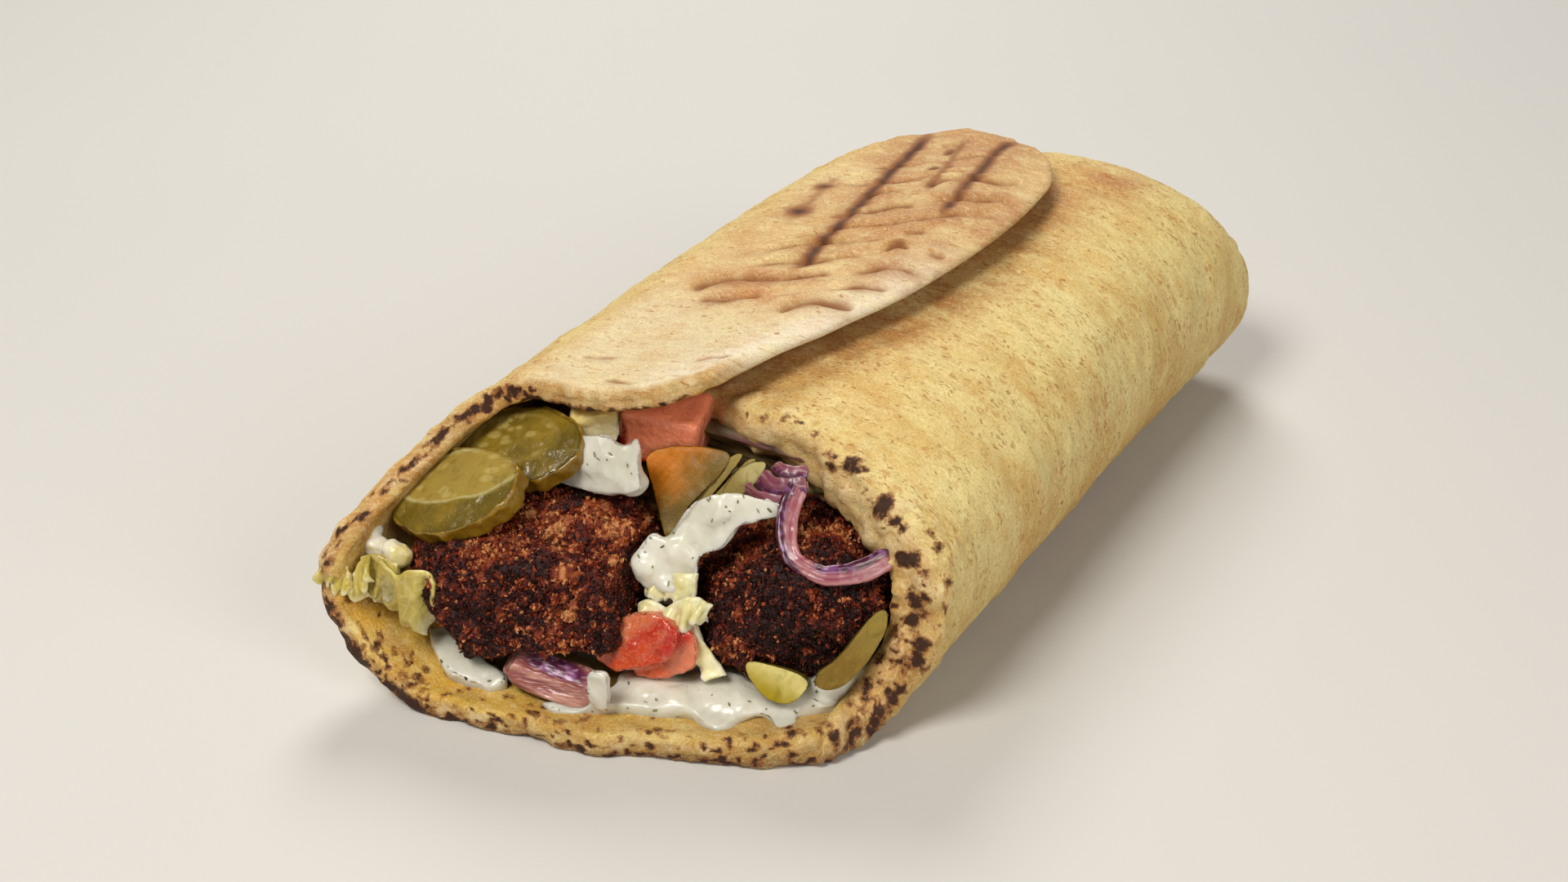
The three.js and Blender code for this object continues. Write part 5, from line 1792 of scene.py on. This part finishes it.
# Each sauce's smears, as (outline, which way they face, thickness), and the lumps run into them.
SAUCES = {
    "sauce_top": (
        [([(-25.2, -66, 39), (-24.4, -66, 41.6), (-22.4, -65, 43.2), (-18.8, -65, 43.4), (-14, -65, 45),
           (-11.6, -66, 44), (-9.4, -66, 44.4), (-7.8, -65.5, 47), (-6.6, -66, 45), (-5.8, -67, 43.6),
           (-4.6, -68, 39.2), (-4.8, -68.4, 37.4), (-11.1, -68.6, 35.4), (-17.2, -68.6, 34.4),
           (-21.3, -68.6, 34.8), (-24.4, -68, 33.6), (-25, -67, 36.8)], VIEWER, 2.8)],
        [
            blob((-14, -66.6, 39.6), (15, 5.4, 8)), blob((-20.6, -66.4, 37.4), (6, 5, 6)),
            blob((-8.6, -67.4, 38.6), (7, 4.4, 5)),
        ],
    ),
    "sauce_middle": (
        [([(4.4, -66, 38.6), (8.9, -64, 39.6), (13.7, -62, 39.4), (19.4, -61, 39), (20.6, -61, 37.2),
           (17.4, -62, 35.8), (13.6, -64, 35), (12.2, -65, 33.8), (11.6, -66, 32), (10.2, -67, 29.8),
           (7.4, -69, 29.2), (7.4, -70, 26.7), (8, -72, 23.6), (3.4, -73, 21.4), (-0.4, -73, 21),
           (-3, -73, 22), (-4.4, -73, 24.6), (-4.8, -73, 27), (-3.2, -73, 29.4), (-0.8, -72, 32.8),
           (0.5, -71, 30.9), (1.4, -71, 31.1), (2, -70, 32.8), (2.6, -68, 35.4)], VIEWER, 2.6)],
        [
            blob((8, -66, 36), (9, 4.4, 6), (0, -30, 0)), blob((3.6, -70, 28.6), (7, 4.4, 7)),
            blob((-1.6, -73.2, 25.6), (5, 4, 5.4)), blob((3.4, -72.8, 23.4), (7, 3.4, 3.4)),
            blob((0.8, -71.8, 20.4), (7, 3, 4.4)),
        ],
    ),
    "sauce_bed": (
        [([(-4.4, -88, 5), (-3.4, -85.2, 5.4), (-2.4, -81.5, 5.6), (-1.8, -76, 6), (-30, -76, 6),
           (-30, -46, 6), (36, -46, 6), (36.6, -58, 7), (34.6, -62, 7.4), (34.6, -66.2, 6),
           (35.2, -69.6, 5), (31.9, -72.4, 4.6), (29.6, -74, 4.6), (31, -76.1, 4.2), (31.2, -78.4, 4),
           (28.2, -79.4, 4), (25.8, -77.8, 4.4), (23.5, -75.6, 4.8), (21.5, -77.6, 4.6), (21, -81.2, 4.4),
           (19.6, -84.4, 4.2), (16.6, -84.6, 4.2), (13.8, -82.6, 4.4), (11.4, -82.2, 4.4),
           (9.5, -84.6, 4.4), (3.8, -86, 4.4), (0.5, -87.8, 4.4), (-1.6, -89.6, 4.4), (-4, -89.4, 4.6)],
          (0, 0, 1), 4),
         ([(-3.9, -90, 13.8), (1.6, -89.8, 15), (1.2, -89.6, 12), (1.2, -89, 8), (-0.6, -88.6, 5.2),
           (-3, -90.2, 7.4), (-2.6, -91, 10.6)], VIEWER, 1.6),
         ([(-39.6, -88.3, 8.6), (-35.2, -86.6, 9), (-31, -86.6, 8), (-27.4, -88.6, 7), (-24.8, -89.4, 6.4),
           (-21.8, -89.6, 6), (-19.6, -90.6, 5.4), (-20.4, -92.2, 4.8), (-22.4, -93.8, 4.8),
           (-25, -94, 5), (-27.8, -94.2, 5), (-30.8, -94.2, 5.6), (-33.6, -93, 6.4), (-35.2, -91.8, 7.2),
           (-38, -90, 7.8)], (0.1, -0.2, 1), 2.6),
         ([(-14, -92.8, 4.8), (-6.6, -90.2, 4.8), (-3, -87.2, 5), (-3, -91, 4.6), (-8, -93, 4.6)],
          (0, 0, 1), 1.6)],
        [
            blob((6, -80, 6.4), (19, 9, 5)), blob((16, -76, 6.6), (18, 11, 5.6)),
            blob((27, -69.4, 7), (11, 9, 6)), blob((31.4, -64.6, 8.6), (8, 9, 8)),
            blob((34.4, -61.4, 10), (5, 6, 7)), blob((18.6, -81.6, 4.8), (5, 6, 4)),
            blob((29.2, -76.6, 4.6), (4, 5, 3)), blob((-31.6, -90, 6.6), (9, 4.4, 3.6)),
        ],
    ),
}
# For each of those sauces: the fineness of its mesh in mm, how much painted shade darkens it, its herb
# flecks.
SAUCE_VOXELS = (0.33, 0.33, 0.42)
SAUCE_TONES = (0.88, 0.95, 0.86)
HERBS_ON = (8, 20, 60)
HERBS_BEFORE_Y = -54  # they are where the sauce shows


def make_sauce(look):
    """Makes the sauces and gives the points and normals of each."""
    surfaces = []
    for k, (name, (smears, lumps)) in enumerate(SAUCES.items()):
        parts = [plate(*smear) for smear in smears] + lumps
        points, faces = melted(parts, SAUCE_VOXELS[k], rounds=18, fillet=0.7)
        swirl = stirring(soft_noise, points, 6, SEED + 105)
        height = 0.5 * rough_noise(points, 6, SEED + 95 + k, 2)
        height += 0.24 * ridged(points + 2.5 * swirl, 4.2, SEED + 99)
        height += 0.1 * rough_noise(points + swirl, 1.5, SEED + 103)
        points = pushed(points, faces, height)
        points[:, 2] = np.maximum(points[:, 2], BREAD_THICK * 0.6)
        # painted shade: each sauce darkened for the shade at its place, with a faint random change
        shade = SAUCE_TONES[k] * (1 + 0.04 * soft_noise(points, 5, SEED + 101))
        piece(name + "_yogurt", points, faces, "sauce", look, (name,), tone=shade)
        surfaces.append((points, normals(points, faces)))
    return surfaces


def make_herbs(surfaces, look):
    """Chopped herbs in the sauce."""
    random = np.random.default_rng(SEED + 8)
    sphere, triangles = ball(1)
    shapes, shades = [], []
    for (surface, out), count in zip(surfaces, HERBS_ON):
        facing = np.flatnonzero((out @ VIEWER > 0.2) & (surface[:, 1] < HERBS_BEFORE_Y))
        for index in random.choice(facing, count, replace=False):
            size = np.array([random.uniform(0.25, 0.75), random.uniform(0.14, 0.34), 0.1])
            leaf = turned(sphere * size, (0, 0, random.uniform(0, 360)))
            aim = np.array(Vector(out[index]).to_track_quat("Z", "Y").to_matrix())
            shapes.append(leaf @ aim.T + surface[index] - out[index] * 0.03)
            shades.append(mix(rgb(92, 100, 66), rgb(150, 152, 112), random.uniform(0, 1)))
    scattered(shapes, triangles, "herb_flecks", "lettuce", look, paint=shades)


CORE_AROUND = 220
CORE_RINGS = 60
CORE_GAP = 0.7  # mm between it and the tucked end's lining
CORE_FROM_Y = -50
CORE_FACE_Y = -44  # its front is hollow, so its middle starts further in
CORE_FACE_RINGS = 40


def make_core(look):
    """The salad behind the pieces that show, a heap of shreds in relief."""
    depth = TUCK_DEPTH + BREAD_THICK + CORE_GAP
    rings, _ = bag_rings(depth, CORE_RINGS, CORE_AROUND, CORE_FROM_Y)
    front = rings[0] * [1, 0, 1]
    centre = front.mean(axis=0)
    hollow = [
        mix(centre, front, share) + [0, CORE_FACE_Y - 4 * share**6, 0]
        for share in np.linspace(0.02, 0.98, CORE_FACE_RINGS)
    ]
    points = np.concatenate([*hollow, rings.reshape(-1, 3)])
    count = len(points)
    first, last = np.arange(CORE_AROUND), np.arange(count - CORE_AROUND, count)
    faces = [
        grid_faces(count // CORE_AROUND, CORE_AROUND, wrap=True),
        np.concatenate([fan(first, count), fan(last, count + 1)]),
    ]
    points = np.concatenate([points, [points[ring].mean(axis=0) for ring in (first, last)]])
    strands = points * [0.35, 1, 1.3] + 1.2 * soft_noise(points, 9, SEED + 97)[:, None]
    lumpy, lumpy_next, tone = grains(strands, 3.2, SEED + 99)
    relief = 1.6 * dome(lumpy, 0.8, -0.4) * (0.3 + tone) - 1.3
    points = pushed(points, faces, relief)
    paint = tinted(rgb(150, 128, 66), rgb(198, 184, 128), tone)
    paint = tinted(paint, rgb(168, 100, 46), 0.8 * (tone > 0.75))
    paint = tinted(paint, rgb(104, 44, 74), 0.8 * (tone < 0.14))
    # painted shade in the gaps between the shreds
    paint = tinted(paint, rgb(44, 30, 14), 0.9 * step(lumpy_next - lumpy, 0.3, 0.02))
    face_outward(piece("salad_heap", points, faces, "salad", look, ("salad_core",), paint=paint))


# ---- the scene -----------------------------------------------------------------------------------

# The camera and the lights. Their places are in metres.
CAMERA_AZIMUTH = 30  # degrees round to the right of the open end
CAMERA_ELEVATION = 30
CAMERA_DISTANCE = 0.430
CAMERA_TARGET = Vector((-0.0062, -0.0126, 0.020))
LENS_MM = 50
SENSOR_MM = 36
# Area lights, as (name, place in metres, diameter, watts, colour).
LIGHTS = [
    ("key", (-0.12, -0.64, 0.9), 0.42, 8.6, (1.0, 0.96, 0.89)),
    ("back", (-0.4, 0.6, 0.72), 0.45, 5.5, (1.0, 0.97, 0.92)),
    ("fill", (0.85, -0.25, 0.5), 0.6, 3.6, (1.0, 0.95, 0.88)),
]
LIGHTS_TARGET = Vector((0, 0, 0.02))
SKY_COLOUR = (1.0, 0.98, 0.95, 1)
SKY_STRENGTH = 0.12
FLOOR_HALF = 3.0


def aimed(name, data, place, direction):
    """A camera or light at a place, looking in a direction."""
    made = linked(name, data)
    made.location = place
    made.rotation_mode = "QUATERNION"
    made.rotation_quaternion = direction.to_track_quat("-Z", "Y")
    return made


def make_camera():
    data = bpy.data.cameras.new("camera")
    data.lens = LENS_MM
    data.sensor_width = SENSOR_MM
    a, e = math.radians(CAMERA_AZIMUTH), math.radians(CAMERA_ELEVATION)
    back = Vector((math.sin(a) * math.cos(e), -math.cos(a) * math.cos(e), math.sin(e)))
    place = CAMERA_TARGET + back * CAMERA_DISTANCE
    bpy.context.scene.camera = aimed("camera", data, place, -back)


def make_floor():
    mesh = bpy.data.meshes.new("floor")
    corners = [(x * FLOOR_HALF, y * FLOOR_HALF, 0) for x, y in ((-1, -1), (1, -1), (1, 1), (-1, 1))]
    mesh.from_pydata(corners, [], [(0, 1, 2, 3)])
    look = Look("floor_pale", Roughness=0.7)
    shade = look.noise(300, detail=2)
    mesh.materials.append(look.finish(look.blend(shade, rgb(206, 204, 200), rgb(212, 210, 206))))
    floor = linked("floor", mesh)


def make_lights():
    for name, place, size, watts, colour in LIGHTS:
        data = bpy.data.lights.new(name, "AREA")
        data.shape = "DISK"
        data.size = size
        data.energy = watts
        data.color = colour
        aimed(name, data, place, LIGHTS_TARGET - Vector(place))
    world = bpy.data.worlds.new("studio")
    world.use_nodes = True
    sky = world.node_tree.nodes["Background"].inputs
    sky["Color"].default_value = SKY_COLOUR
    sky["Strength"].default_value = SKY_STRENGTH
    bpy.context.scene.world = world
    bpy.context.scene.view_settings.view_transform = "Standard"


# ---- everything, in order ------------------------------------------------------------------------

bread = bread_look()
make_sheet(bread)
make_tucked_end(bread)
crust = falafel_look()
crusts = [
    make_falafel(name, shape, crust, SEED + 40 * k) for k, (name, shape) in enumerate(FALAFELS.items())
]
make_crumbs(crusts, crust)
flesh = pickle_look("pickle_flesh", roughness=0.22, coat=0.5, depth=0.22, shine=0.4, glow=0.35)
clear = pickle_look("pickle_translucent", roughness=0.42, coat=0.03, depth=0.16, shine=0.14, glow=0.12)
for name, shape in PICKLE_SLICES.items():
    make_pickle_slice(name, flesh, **shape)
for name, shape in PICKLE_CUTS.items():
    make_pickle_cut(name, clear, *shape)
tomato = tomato_look()
make_tomato_dice(tomato)
make_tomato_wedge(tomato)
onion = onion_look()
make_onion_ring(onion)
make_onion_shreds(onion)
make_onion_wedge(onion)
leaf = leaf_look()
make_leaves(leaf)
make_cabbage(leaf)
herbs = plain_paint_look("herb_green", grain=0.5)
make_herbs(make_sauce(sauce_look()), herbs)
make_core(plain_paint_look("salad_shreds", grain=2))
make_camera()
make_floor()
make_lights()

bpy.context.view_layer.update()
